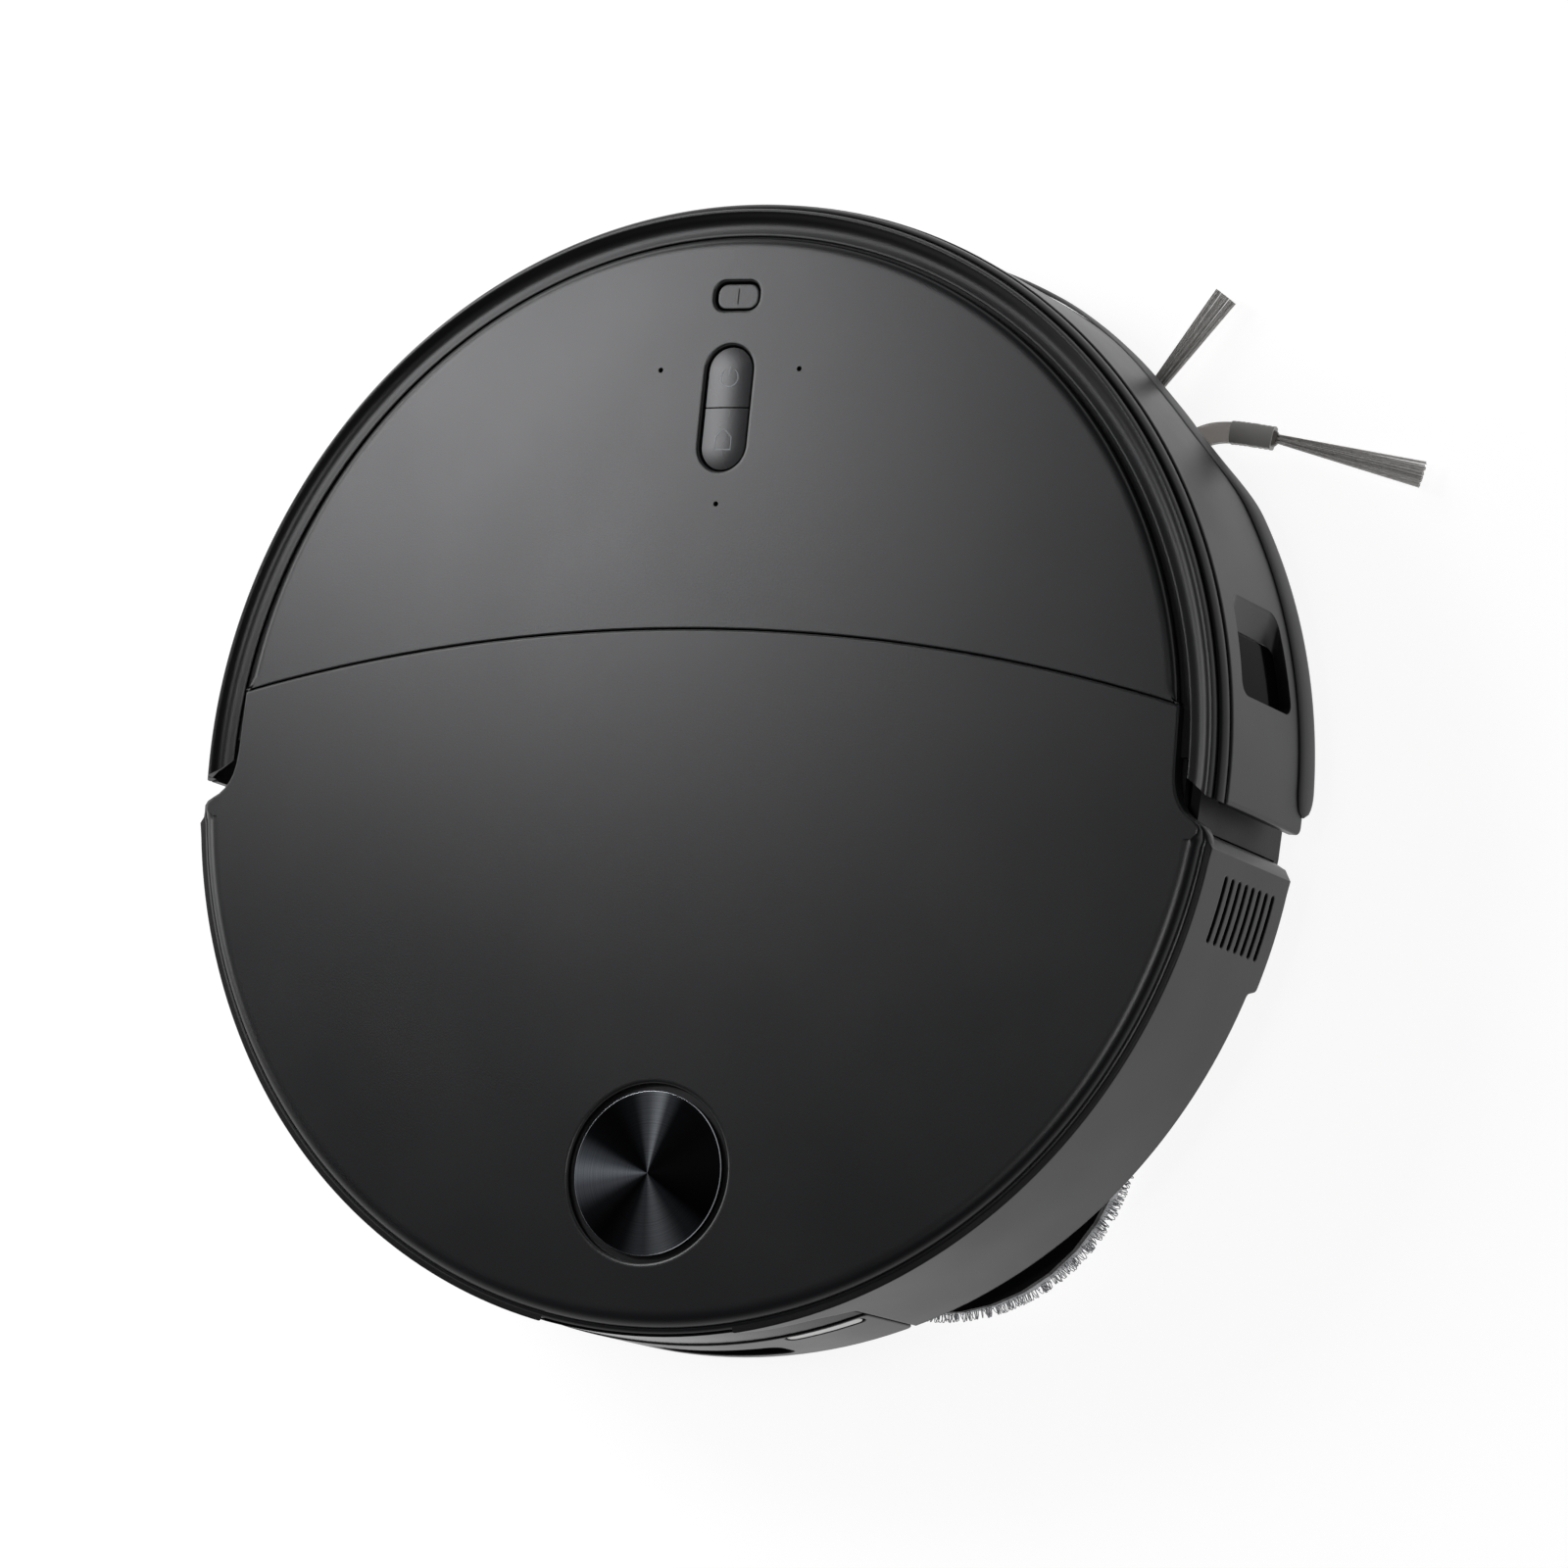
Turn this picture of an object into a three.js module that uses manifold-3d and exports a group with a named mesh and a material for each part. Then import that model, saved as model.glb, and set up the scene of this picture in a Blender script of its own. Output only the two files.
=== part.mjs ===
// Robot vacuum and mop, built as an assembly of separate pieces.
// Millimetres, +Z up. The front of the robot faces -Y and its right side is -X.
// The origin is the middle of the flat underside, FLOOR_GAP above the floor.
import * as THREE from 'three';
import { mergeVertices } from 'three/addons/utils/BufferGeometryUtils.js';
import Module from 'manifold-3d';

const wasm = await Module();
wasm.setup();

// ---- driving dimensions -------------------------------------------------
const BODY_R = 175;          // outside radius of the round body
const FLOOR_GAP = 10;        // floor clearance of the flat underside
const TOP = 69.8;            // height of the top skin above the underside
const GAP = 0.3;             // air between pieces that touch
const WALL = 2;              // usual moulding wall
const SKIN_Z = 64.3;         // lower face of the top panel and the rear cover
const DECK_Z = 61;           // lower face of the deck
const DECK_T = 3;            // deck thickness
const PAN_T = 3;             // base plate thickness
const PANEL_R = 160.7;       // front top panel, inside the bumper
const COVER_R = 173.8;       // lip of the rear cover
const SEAM_R = 616;          // bow of the joint between top panel and rear cover
const SEAM_Y = 575.4;        // centre of that bow
const SEAM_GAP = 0.4;        // width of the joint line
const SHELL_IN = 172;        // inside of the bumper shell and of the rear wall
const INNER_R = 166;         // outside of the chassis ring behind the bumper
const BUMPER_END_Y = 8.5;    // where the bumper stops on both sides
const BUMPER_LOW = 6.8;      // lower edge of the bumper shell
const ARCH = { from: 38, to: 56, rise: 12.5 };   // opening over the side brush, in degrees
const STRIP = { z: 2.8, r0: 175.3, r1: 176.6 };  // rubber strip along the bumper's foot
const BUMPER_SEAM = 62.3;    // joint between bumper shell and its top trim
const REAR_START_Y = 18.4;   // where the rear wall starts
const ROOF_Z = 15;           // underside over the mops
const STEP_Y = 30;           // where the underside steps up
const RING_SEGMENTS = 72;
const WHEEL = { x: 113.5, y: 4, r: 33, width: 20 };
const WHEEL_PIVOT = { y: 38, z: 36 };
const BRUSH = { y: -38, z: 12.5, r: 21.5, inner: 3, outer: 76 };
const CASTER = { y: -130, trail: 4, r: 12, width: 12, forkR: 17 };
const SIDE_HUB = { x: -122.3, y: -80.1 };
const SIDE_PIVOT = { x: -92, y: -108 };
const SIDE_SWING = -10;      // degrees that the arm folds in
const MOP = { x: 64.5, y: 96.5, r: 62.5, plateR: 60 };
const BIN = { x: 70, y0: -6, y1: 52, z0: 21, z1: 56 };
const BADGE = { y: 125.6, r: 24.9, pocketR: 27.1 };
const PILL = { half: 8.1, y0: -128.8, y1: -89.4, splitY: -109.3 };
const SWITCH = { y: -144.2, w: 16.2, h: 9.3 };
const MODULE_X = 67.5;       // half width of the rear docking module
const MODULE_TOP = 46;       // top of that module, where the lamp window starts
const RIM_TOP = 67;          // top edge of the rear wall
const SIDE_WINDOW = { z0: 17.2, z1: 54, y0: -56.5, y1: -25.7, depthX: 168.5, rampY: -46.8 };
const FRONT_WINDOW = { x: 48.3, z0: 21.7, z1: 50.3 };
const VENT = { count: 8, first: 17.4, pitch: 4.96, height: 2, y0: 28.3, y1: 48 };
const MICROPHONES = [[23.9, -121.1], [-23.9, -121.1], [0, -79.2]];
const CONTACT = { x0: 37.5, x1: 63, z0: 39, z1: 45.7 };

// ---- solids -------------------------------------------------------------
function signedVolume(position, index) {
  let volume = 0;
  const [a, b, c] = [new THREE.Vector3(), new THREE.Vector3(), new THREE.Vector3()];
  for (let i = 0; i < index.count; i += 3) {
    a.fromBufferAttribute(position, index.getX(i));
    b.fromBufferAttribute(position, index.getX(i + 1));
    c.fromBufferAttribute(position, index.getX(i + 2));
    volume += a.dot(b.cross(c));
  }
  return volume;
}

function solid(geometry) {
  const bare = geometry.clone();
  bare.deleteAttribute('normal');
  bare.deleteAttribute('uv');
  const merged = mergeVertices(bare, 1e-4);
  const { position } = merged.attributes;
  const triVerts = Uint32Array.from(merged.index.array);
  if (signedVolume(position, merged.index) < 0) triVerts.reverse();
  const vertProperties = Float32Array.from(position.array);
  return new wasm.Manifold(new wasm.Mesh({ numProp: 3, vertProperties, triVerts }));
}

function geometryOf(manifold) {
  const mesh = manifold.getMesh();
  const geometry = new THREE.BufferGeometry();
  geometry.setAttribute('position', new THREE.BufferAttribute(mesh.vertProperties, 3));
  geometry.setIndex(new THREE.BufferAttribute(mesh.triVerts, 1));
  return geometry;
}

const join = (first, ...rest) => rest.reduce((sum, next) => sum.add(next), first);
const cut = (first, ...rest) => rest.reduce((left, next) => left.subtract(next), first);

function box(x0, x1, y0, y1, z0, z1) {
  const geometry = new THREE.BoxGeometry(x1 - x0, y1 - y0, z1 - z0);
  geometry.translate((x0 + x1) / 2, (y0 + y1) / 2, (z0 + z1) / 2);
  return solid(geometry);
}

function disc(x, y, r, z0, z1, segments = 24) {
  const geometry = new THREE.CylinderGeometry(r, r, z1 - z0, segments);
  geometry.rotateX(Math.PI / 2);
  geometry.translate(x, y, (z0 + z1) / 2);
  return solid(geometry);
}

function rodX(x0, x1, y, z, r, segments = 16) {
  const geometry = new THREE.CylinderGeometry(r, r, x1 - x0, segments);
  geometry.rotateZ(Math.PI / 2);
  geometry.translate((x0 + x1) / 2, y, z);
  return solid(geometry);
}

// A profile of [radius, height] pairs turned about the vertical axis.
function turned(profile, segments = RING_SEGMENTS) {
  const points = profile.map(([r, z]) => new THREE.Vector2(r, z));
  const geometry = new THREE.LatheGeometry(points, segments);
  geometry.rotateX(Math.PI / 2);
  return solid(geometry);
}

function ring(r0, r1, z0, z1, segments = RING_SEGMENTS) {
  return turned([[r0, z0], [r1, z0], [r1, z1], [r0, z1], [r0, z0]], segments);
}

function plate(shape, z0, z1, curveSegments = 5) {
  const geometry = new THREE.ExtrudeGeometry(shape, {
    depth: z1 - z0, bevelEnabled: false, curveSegments,
  });
  geometry.translate(0, 0, z0);
  return solid(geometry);
}

function outline(points) {
  return new THREE.Shape(points.map(([x, y]) => new THREE.Vector2(x, y)));
}

// A slot with round ends between two points, each end with its own radius.
function stadium(a, b, ra, rb, z0, z1, segments = 6) {
  const turn = Math.atan2(b.y - a.y, b.x - a.x);
  const lean = Math.asin((ra - rb) / Math.hypot(b.x - a.x, b.y - a.y));
  const shape = new THREE.Shape();
  shape.absarc(b.x, b.y, rb, turn - Math.PI / 2 + lean, turn + Math.PI / 2 - lean, false);
  shape.absarc(a.x, a.y, ra, turn + Math.PI / 2 - lean, turn + 1.5 * Math.PI + lean, false);
  return plate(shape, z0, z1, segments);
}

function roundedBox(x0, x1, y0, y1, z0, z1, r, segments = 2) {
  const shape = new THREE.Shape();
  shape.absarc(x1 - r, y1 - r, r, 0, Math.PI / 2, false);
  shape.absarc(x0 + r, y1 - r, r, Math.PI / 2, Math.PI, false);
  shape.absarc(x0 + r, y0 + r, r, Math.PI, 1.5 * Math.PI, false);
  shape.absarc(x1 - r, y0 + r, r, 1.5 * Math.PI, 2 * Math.PI, false);
  return plate(shape, z0, z1, segments);
}

function aboutZ(manifold, pivot, degrees) {
  const geometry = geometryOf(manifold);
  geometry.translate(-pivot.x, -pivot.y, 0);
  geometry.rotateZ(THREE.MathUtils.degToRad(degrees));
  geometry.translate(pivot.x, pivot.y, 0);
  return solid(geometry);
}

const mirrorX = (manifold) => {
  const geometry = geometryOf(manifold);
  geometry.scale(-1, 1, 1);
  return solid(geometry);
};

// ---- assembly -----------------------------------------------------------
const robot = new THREE.Group();
const FINISH = {
  topSkin: [0x2b2c2e, 0.55, 0], wall: [0x303132, 0.5, 0], trim: [0x26272a, 0.35, 0],
  inner: [0x1a1a1b, 0.7, 0], rubber: [0x232324, 0.8, 0], glass: [0x050506, 0.08, 0],
  gloss: [0x222325, 0.25, 0], metal: [0xb4b6b8, 0.35, 1], darkMetal: [0x3b3e43, 0.3, 1],
  pad: [0xb9babd, 0.95, 0], bristle: [0x7d7b78, 0.7, 0], smoke: [0x55504c, 0.3, 0],
  board: [0x1f5a38, 0.6, 0], battery: [0x3a5f8a, 0.5, 0], clear: [0x6f7478, 0.2, 0],
};

function add(name, finish, manifold, group = robot) {
  const [color, roughness, metalness] = FINISH[finish];
  const material = new THREE.MeshStandardMaterial({ color, roughness, metalness });
  const mesh = new THREE.Mesh(geometryOf(manifold), material);
  mesh.name = name;
  group.add(mesh);
}

const BIG = 400;
const behind = (y) => box(-BIG, BIG, y, BIG, -BIG, BIG);
const ahead = (y) => box(-BIG, BIG, -BIG, y, -BIG, BIG);

// Swept room of the side brush arm, so that it can fold in.
function sideArmRoom(z0, z1) {
  const margin = 1;
  const room = stadium(SIDE_PIVOT, SIDE_HUB, 12 + margin, 14 + margin, z0, z1);
  return join(room, aboutZ(room, SIDE_PIVOT, SIDE_SWING / 2), aboutZ(room, SIDE_PIVOT, SIDE_SWING));
}

const BAY = { x0: 88, x1: 128, y0: -36, y1: 51, z1: 59.5 };
function wheelRoom(side) {
  const room = box(BAY.x0 - GAP, BAY.x1 + GAP, BAY.y0 - GAP, BAY.y1 + GAP, PAN_T, BIG);
  const hole = box(BAY.x0 + WALL, BAY.x1 - WALL, -32, 47, -1, BIG);
  return side > 0 ? join(room, hole) : mirrorX(join(room, hole));
}

const CLIFF = [['front_left', 42, -150], ['front_right', -42, -150],
  ['side_left', 150, -30], ['side_right', -150, -30]];
const DOOR = { x: 64, y0: -106, y1: -68 };

function basePan() {
  const front = cut(disc(0, 0, INNER_R, 0, PAN_T, RING_SEGMENTS), behind(STEP_Y));
  const roof = cut(disc(0, 0, 171.5, ROOF_Z, ROOF_Z + PAN_T, RING_SEGMENTS), ahead(STEP_Y - PAN_T));
  const riser = disc(0, 0, INNER_R, 0, ROOF_Z + PAN_T, RING_SEGMENTS)
    .intersect(box(-BIG, BIG, STEP_Y - PAN_T, STEP_Y, -1, BIG));
  const wall = cut(ring(INNER_R - 3, INNER_R, 0, DECK_Z - GAP), behind(REAR_START_Y - 3));
  let pan = join(front, roof, riser, wall);
  pan = cut(pan, wheelRoom(1), wheelRoom(-1));
  pan = cut(pan, box(-86, 86, -63, -13, -1, PAN_T + 1));
  const [doorX, doorY0, doorY1] = [DOOR.x + GAP, DOOR.y0 - GAP, DOOR.y1 + GAP];
  pan = cut(pan, roundedBox(-doorX, doorX, doorY0, doorY1, -1, PAN_T + 1, 4, 2));
  pan = cut(pan, disc(0, CASTER.y, CASTER.forkR + 1, -1, PAN_T + 1), sideArmRoom(-1, PAN_T + 1));
  pan = cut(pan, box(-46, 46, -BIG, -150, 22, 48));
  for (const side of [-1, 1]) pan = cut(pan, disc(side * MOP.x, MOP.y, 9, ROOF_Z - 1, ROOF_Z + PAN_T + 1));
  for (const [, x, y] of CLIFF) pan = cut(pan, box(x - 8, x + 8, y - 4, y + 4, -1, PAN_T + 1));
  return pan;
}

function rearWall() {
  const profile = [[SHELL_IN, 8], [BODY_R, 8], [BODY_R, 60], [174.8, 64], [COVER_R, RIM_TOP],
    [SHELL_IN, RIM_TOP], [SHELL_IN, 8]];
  let wall = cut(turned(profile), ahead(REAR_START_Y));
  const corner = outline([[164.6, 15.7], [168, REAR_START_Y], [174, REAR_START_Y], [174, 27], [170, 27]]);
  const end = plate(corner, 8, DECK_Z - GAP);
  wall = join(wall, end, mirrorX(end));
  wall = cut(wall, behind(57.5).intersect(box(-BIG, BIG, -BIG, BIG, -1, 13)));
  wall = cut(wall, box(-MODULE_X - GAP, MODULE_X + GAP, 0, BIG, -1, 60));
  for (let i = 0; i < VENT.count; i += 1) {
    const z = VENT.first + i * VENT.pitch;
    wall = cut(wall, box(-BIG, -150, VENT.y0, VENT.y1, z - VENT.height / 2, z + VENT.height / 2));
  }
  return wall;
}

// Front edge of the rear cover: the bow of the joint, moved by half the joint's width.
function bow(halfWidth, offset, steps = 16) {
  const r = SEAM_R + offset;
  const points = [];
  for (let i = 0; i <= steps; i += 1) {
    const x = -halfWidth + (2 * halfWidth * i) / steps;
    points.push([x, SEAM_Y - Math.sqrt(r * r - x * x)]);
  }
  return points;
}

function arc(r, fromDeg, toDeg, steps) {
  const points = [];
  for (let i = 0; i <= steps; i += 1) {
    const a = THREE.MathUtils.degToRad(fromDeg + ((toDeg - fromDeg) * i) / steps);
    points.push([r * Math.cos(a), r * Math.sin(a)]);
  }
  return points;
}

function topPanel() {
  const flat = PANEL_R - 2.6;
  const dome = turned([[0, SKIN_Z], [PANEL_R, SKIN_Z], [PANEL_R, TOP - 2.2],
    [PANEL_R - 0.7, TOP - 0.7], [flat, TOP], [0, TOP]]);
  const seam = bow(158, SEAM_GAP / 2).reverse();
  const front = outline([[-BIG, seam.at(-1)[1]], [-BIG, -BIG], [BIG, -BIG], [BIG, seam[0][1]], ...seam]);
  let panel = dome.intersect(plate(front, SKIN_Z - 1, TOP + 1));
  const pillEnds = [PILL.y0 + PILL.half, PILL.y1 - PILL.half].map((y) => ({ x: 0, y }));
  panel = cut(panel, stadium(...pillEnds, PILL.half, PILL.half, SKIN_Z - 1, TOP + 1));
  const [w, h] = [SWITCH.w / 2, SWITCH.h / 2];
  panel = cut(panel, roundedBox(-w, w, SWITCH.y - h, SWITCH.y + h, SKIN_Z - 1, TOP + 1, 3));
  for (const [x, y] of MICROPHONES) {
    panel = cut(panel, disc(x, y, 0.8, TOP - 2, TOP + 1, 10));
  }
  return panel;
}

// Half outline of the rear cover beside the bumper end: in line with the panel, then out to the wall.
function coverShoulder() {
  const path = new THREE.CurvePath();
  const point = (x, y) => new THREE.Vector2(x, y);
  const start = [point(160.4, 1), point(160.6, 9.5), point(164, 12.5), point(167.5, 14.3)];
  const end = [point(167.5, 14.3), point(171, 16), point(172.4, 17.2), point(172.7, 19.4)];
  path.add(new THREE.CubicBezierCurve(...start));
  path.add(new THREE.CubicBezierCurve(...end));
  const points = [...path.curves[0].getPoints(6), ...path.curves[1].getPoints(5).slice(1)];
  return points.map((p) => [p.x, p.y]);
}

function rearCover() {
  const dome = turned([[0, SKIN_Z], [171.4, SKIN_Z], [171.6, TOP - 2.6], [COVER_R, TOP - 2.4],
    [173.2, TOP - 1.1], [171.5, TOP - 0.3], [168, TOP], [0, TOP]]);
  const side = coverShoulder();
  const [endX, endY] = side.at(-1);
  const endDeg = THREE.MathUtils.radToDeg(Math.atan2(endY, endX));
  const back = arc(COVER_R + 2, endDeg + 1, 179 - endDeg, 24);
  const left = side.map(([x, y]) => [-x, y]).reverse();
  const seamX = 159;
  const shape = outline([...side, ...back, ...left, ...bow(seamX, -SEAM_GAP / 2)]);
  const cover = dome.intersect(plate(shape, SKIN_Z - 1, TOP + 1));
  return cut(cover, disc(0, BADGE.y, BADGE.pocketR, TOP - 2.2, TOP + 1, 48));
}

function deck() {
  const front = cut(disc(0, 0, 162, DECK_Z, DECK_Z + DECK_T, RING_SEGMENTS), behind(0));
  const rear = cut(disc(0, 0, 171.2, DECK_Z, DECK_Z + DECK_T, RING_SEGMENTS), ahead(21));
  const waist = box(-162, 162, -1, 22, DECK_Z, DECK_Z + DECK_T);
  const bin = box(-BIN.x - 1.5, BIN.x + 1.5, BIN.y0 - 1.5, BIN.y1 + 1.5, DECK_Z - 1, BIG);
  return cut(join(front, rear, waist), bin);
}

function openBox(x, y0, y1, z0, z1, wall) {
  const inside = box(-x + wall, x - wall, y0 + wall, y1 - wall, z0 + wall, z1 + 1);
  return cut(box(-x, x, y0, y1, z0, z1), inside);
}

const INLET = { x: 24, z0: 24, z1: 34 };
function dustBay() {
  const bay = openBox(BIN.x + 4, BIN.y0 - 4, BIN.y1 + 4, ROOF_Z + PAN_T + GAP, DECK_Z - GAP, WALL);
  return cut(bay, box(-INLET.x, INLET.x, BIN.y0 - 5, BIN.y0 - 1, INLET.z0, INLET.z1));
}

function brushHousing() {
  const [x, y0, y1, z0, z1] = [85, -64, -12, PAN_T + GAP, 37];
  const outer = box(-x, x, y0, y1, z0, z1);
  const inside = box(-x + WALL, x - WALL, y0 + WALL, y1 - WALL, z0 - 1, z1 - WALL);
  const outlet = box(-INLET.x, INLET.x, y1 - 3, y1 + 1, INLET.z0, INLET.z1);
  const bearings = rodX(-x - 1, x + 1, BRUSH.y, BRUSH.z, 3.3);
  const spine = cut(box(-1.5, 1.5, BRUSH.y - 6, BRUSH.y + 6, BRUSH.z - 6, z1 - WALL / 2),
    rodX(-2, 2, BRUSH.y, BRUSH.z, 3.3));
  return join(cut(outer, inside, outlet, bearings), spine);
}

function brushGuard() {
  const frame = roundedBox(-85.7, 85.7, -62.7, -13.3, -0.5, 2.6, 3);
  return cut(frame, roundedBox(-80, 80, -58, -18, -1, 3, 5));
}

function wheelBay(side) {
  const outer = box(BAY.x0, BAY.x1, BAY.y0, BAY.y1, PAN_T + GAP, BAY.z1);
  const inside = box(BAY.x0 + WALL, BAY.x1 - WALL, BAY.y0 + WALL, BAY.y1 - WALL, 0, BAY.z1 - WALL);
  const overMop = box(0, BIG, STEP_Y - PAN_T - GAP, BIG, 0, ROOF_Z + PAN_T + GAP);
  const pin = rodX(BAY.x0 + 1, BAY.x0 + 14, WHEEL_PIVOT.y, WHEEL_PIVOT.z, 3);
  const bay = join(cut(outer, inside, overMop), pin);
  return side > 0 ? bay : mirrorX(bay);
}

const AXLE_Z = WHEEL.r - FLOOR_GAP;
function wheelArm(side) {
  const [x0, x1, r] = [BAY.x0 + WALL + 0.8, WHEEL.x - WHEEL.width / 2 - 1.2, 11];
  const [pivot, axle] = [{ x: WHEEL_PIVOT.y, y: WHEEL_PIVOT.z }, { x: WHEEL.y, y: AXLE_Z }];
  const flat = geometryOf(stadium(pivot, axle, r - 2, r + 3, x0, x1));
  flat.applyMatrix4(new THREE.Matrix4().set(0, 0, 1, 0, 1, 0, 0, 0, 0, 1, 0, 0, 0, 0, 0, 1));
  const stub = rodX(x1 - 1, WHEEL.x + WHEEL.width / 2 - 2, WHEEL.y, AXLE_Z, 3);
  const bore = rodX(x0 - 1, x1 + 1, WHEEL_PIVOT.y, WHEEL_PIVOT.z, 3.3);
  const arm = cut(join(solid(flat), stub), bore);
  return side > 0 ? arm : mirrorX(arm);
}

function wheelHub(side) {
  const [x0, x1] = [WHEEL.x - WHEEL.width / 2 + 0.5, WHEEL.x + WHEEL.width / 2 - 0.5];
  const bore = rodX(x0 - 1, x1 + 1, WHEEL.y, AXLE_Z, 3.3);
  const dish = rodX(x1 - 5, x1 + 1, WHEEL.y, AXLE_Z, 20);
  const boss = rodX(x1 - 6, x1 - 1, WHEEL.y, AXLE_Z, 7);
  const hub = cut(join(cut(rodX(x0, x1, WHEEL.y, AXLE_Z, 25, 24), dish), boss), bore);
  return side > 0 ? hub : mirrorX(hub);
}

function tyre(side) {
  const lugs = 16;
  const points = [];
  for (let i = 0; i < lugs; i += 1) {
    const lug = (2 * Math.PI) / lugs;
    for (const [part, r] of [[0, WHEEL.r - 1.6], [0.12, WHEEL.r], [0.6, WHEEL.r], [0.72, WHEEL.r - 1.6]]) {
      points.push([r * Math.cos((i + part) * lug), r * Math.sin((i + part) * lug)]);
    }
  }
  const [x0, x1] = [WHEEL.x - WHEEL.width / 2, WHEEL.x + WHEEL.width / 2];
  const flat = geometryOf(plate(outline(points), x0, x1));
  flat.rotateY(Math.PI / 2);
  flat.translate(0, WHEEL.y, AXLE_Z);
  const band = cut(solid(flat), rodX(x0 - 1, x1 + 1, WHEEL.y, AXLE_Z, 25.3, 24));
  return side > 0 ? band : mirrorX(band);
}

function brushRoller(side) {
  const fins = 6;
  const points = [];
  for (let i = 0; i < fins; i += 1) {
    const fin = (2 * Math.PI) / fins;
    for (const [part, r] of [[0, 12], [0.4, 12], [0.46, BRUSH.r], [0.56, BRUSH.r], [0.62, 12]]) {
      points.push([r * Math.cos((i + part) * fin), r * Math.sin((i + part) * fin)]);
    }
  }
  const length = BRUSH.outer - BRUSH.inner;
  const geometry = new THREE.ExtrudeGeometry(outline(points), {
    depth: length, steps: 6, bevelEnabled: false,
  });
  const { position } = geometry.attributes;
  for (let i = 0; i < position.count; i += 1) {
    const along = position.getZ(i) / length;
    const taper = 0.8 + 0.2 * along;
    const turn = side * along * 0.9;
    const [x, y] = [position.getX(i) * taper, position.getY(i) * taper];
    position.setXY(i, x * Math.cos(turn) - y * Math.sin(turn), x * Math.sin(turn) + y * Math.cos(turn));
  }
  geometry.rotateY(Math.PI / 2);
  geometry.translate(BRUSH.inner, BRUSH.y, BRUSH.z);
  const roller = join(solid(geometry), rodX(BRUSH.outer - 1, 84.5, BRUSH.y, BRUSH.z, 3));
  return side > 0 ? roller : mirrorX(roller);
}

// A two-armed brush: each arm bends away from the hub and ends in a fan of bristles.
const ARM_PATH = [[0, 0], [2, -18], [0, -32], [-4.7, -36.1], [-13.7, -37.2], [-30, -35]];
const ARM_SPREAD = 67.5;
function ribbon(points, widths, z0, z1) {
  const curve = new THREE.CatmullRomCurve3(points.map(([x, y]) => new THREE.Vector3(x, y, 0)));
  const [left, right] = [[], []];
  const steps = 12;
  for (let i = 0; i <= steps; i += 1) {
    const [at, way] = [curve.getPointAt(i / steps), curve.getTangentAt(i / steps)];
    const half = THREE.MathUtils.lerp(widths[0], widths[1], i / steps) / 2;
    left.push([at.x - way.y * half, at.y + way.x * half]);
    right.unshift([at.x + way.y * half, at.y - way.x * half]);
  }
  return plate(outline([...left, ...right]), z0, z1);
}

const atHub = (manifold) => {
  const geometry = geometryOf(manifold);
  geometry.translate(SIDE_HUB.x, SIDE_HUB.y, 0);
  return solid(geometry);
};

function sideBrushHub() {
  const arm = ribbon(ARM_PATH, [8, 6.5], -4.6, -1.2);
  const hub = join(disc(0, 0, 9.5, -5, -0.9, 24), disc(0, 0, 3, -1.5, 8, 16));
  return atHub(join(hub, arm, aboutZ(arm, { x: 0, y: 0 }, ARM_SPREAD)));
}

function sideBristles(degrees) {
  const fan = ribbon([[-30.4, -34.9], [-54, -29.7], [-77.7, -23.9]], [4, 9], -6.5, -2.5);
  return atHub(aboutZ(fan, { x: 0, y: 0 }, degrees));
}

function sideBrushArm() {
  const housing = stadium(SIDE_PIVOT, SIDE_HUB, 12, 14, 0.3, 9);
  const motor = disc(SIDE_HUB.x, SIDE_HUB.y, 12, 8, 30, 24);
  const bore = disc(SIDE_PIVOT.x, SIDE_PIVOT.y, 4.3, 0, 10, 16);
  const shaft = disc(SIDE_HUB.x, SIDE_HUB.y, 3.3, 0, 9, 16);
  return cut(join(housing, motor), bore, shaft);
}

function sideBrushBracket() {
  const { x, y } = SIDE_PIVOT;
  const bridge = box(x - 6, x + 26, y - 8, y + 8, 9.4, 12.4);
  const leg = box(x + 18, x + 26, y - 8, y + 8, PAN_T + GAP, 12.4);
  return join(bridge, leg, disc(x, y, 4, 0.8, 10, 16));
}

function casterSocket() {
  const cup = disc(0, CASTER.y, CASTER.forkR + 3.5, PAN_T + GAP, 21.5);
  const room = disc(0, CASTER.y, CASTER.forkR + 1, 0, 19.3);
  return cut(cup, room, disc(0, CASTER.y, 4.3, 0, 25, 16));
}

const CASTER_AXLE = { y: CASTER.y + CASTER.trail, z: CASTER.r - FLOOR_GAP };
function casterFork() {
  const body = join(disc(0, CASTER.y, CASTER.forkR, -2, 18.6), disc(0, CASTER.y, 4, 18, 27, 16));
  const half = CASTER.width / 2 + 0.6;
  const room = box(-half, half, CASTER.y - 25, CASTER.y + 25, -3, CASTER_AXLE.z + CASTER.r + 0.8);
  return cut(body, room, rodX(-25, 25, CASTER_AXLE.y, CASTER_AXLE.z, 1.8, 12));
}

function casterWheel() {
  const { y, z } = CASTER_AXLE;
  const geometry = new THREE.LatheGeometry([[1.8, -6], [8, -6], [11.2, -4], [CASTER.r, 0], [11.2, 4],
    [8, 6], [1.8, 6], [1.8, -6]].map(([r, h]) => new THREE.Vector2(r, h)), 20);
  geometry.rotateZ(Math.PI / 2);
  geometry.translate(0, y, z);
  return solid(geometry);
}

// The opening beside the brush lets the brush arm reach out under the bumper.
function brushArch(low, high) {
  const start = THREE.MathUtils.degToRad(-90 - ARCH.from);
  const end = THREE.MathUtils.degToRad(-90 - ARCH.to);
  const wedge = outline([[0, 0], [BIG * Math.cos(start), BIG * Math.sin(start)],
    [BIG * Math.cos(end), BIG * Math.sin(end)]]);
  return plate(wedge, low, high);
}

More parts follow.
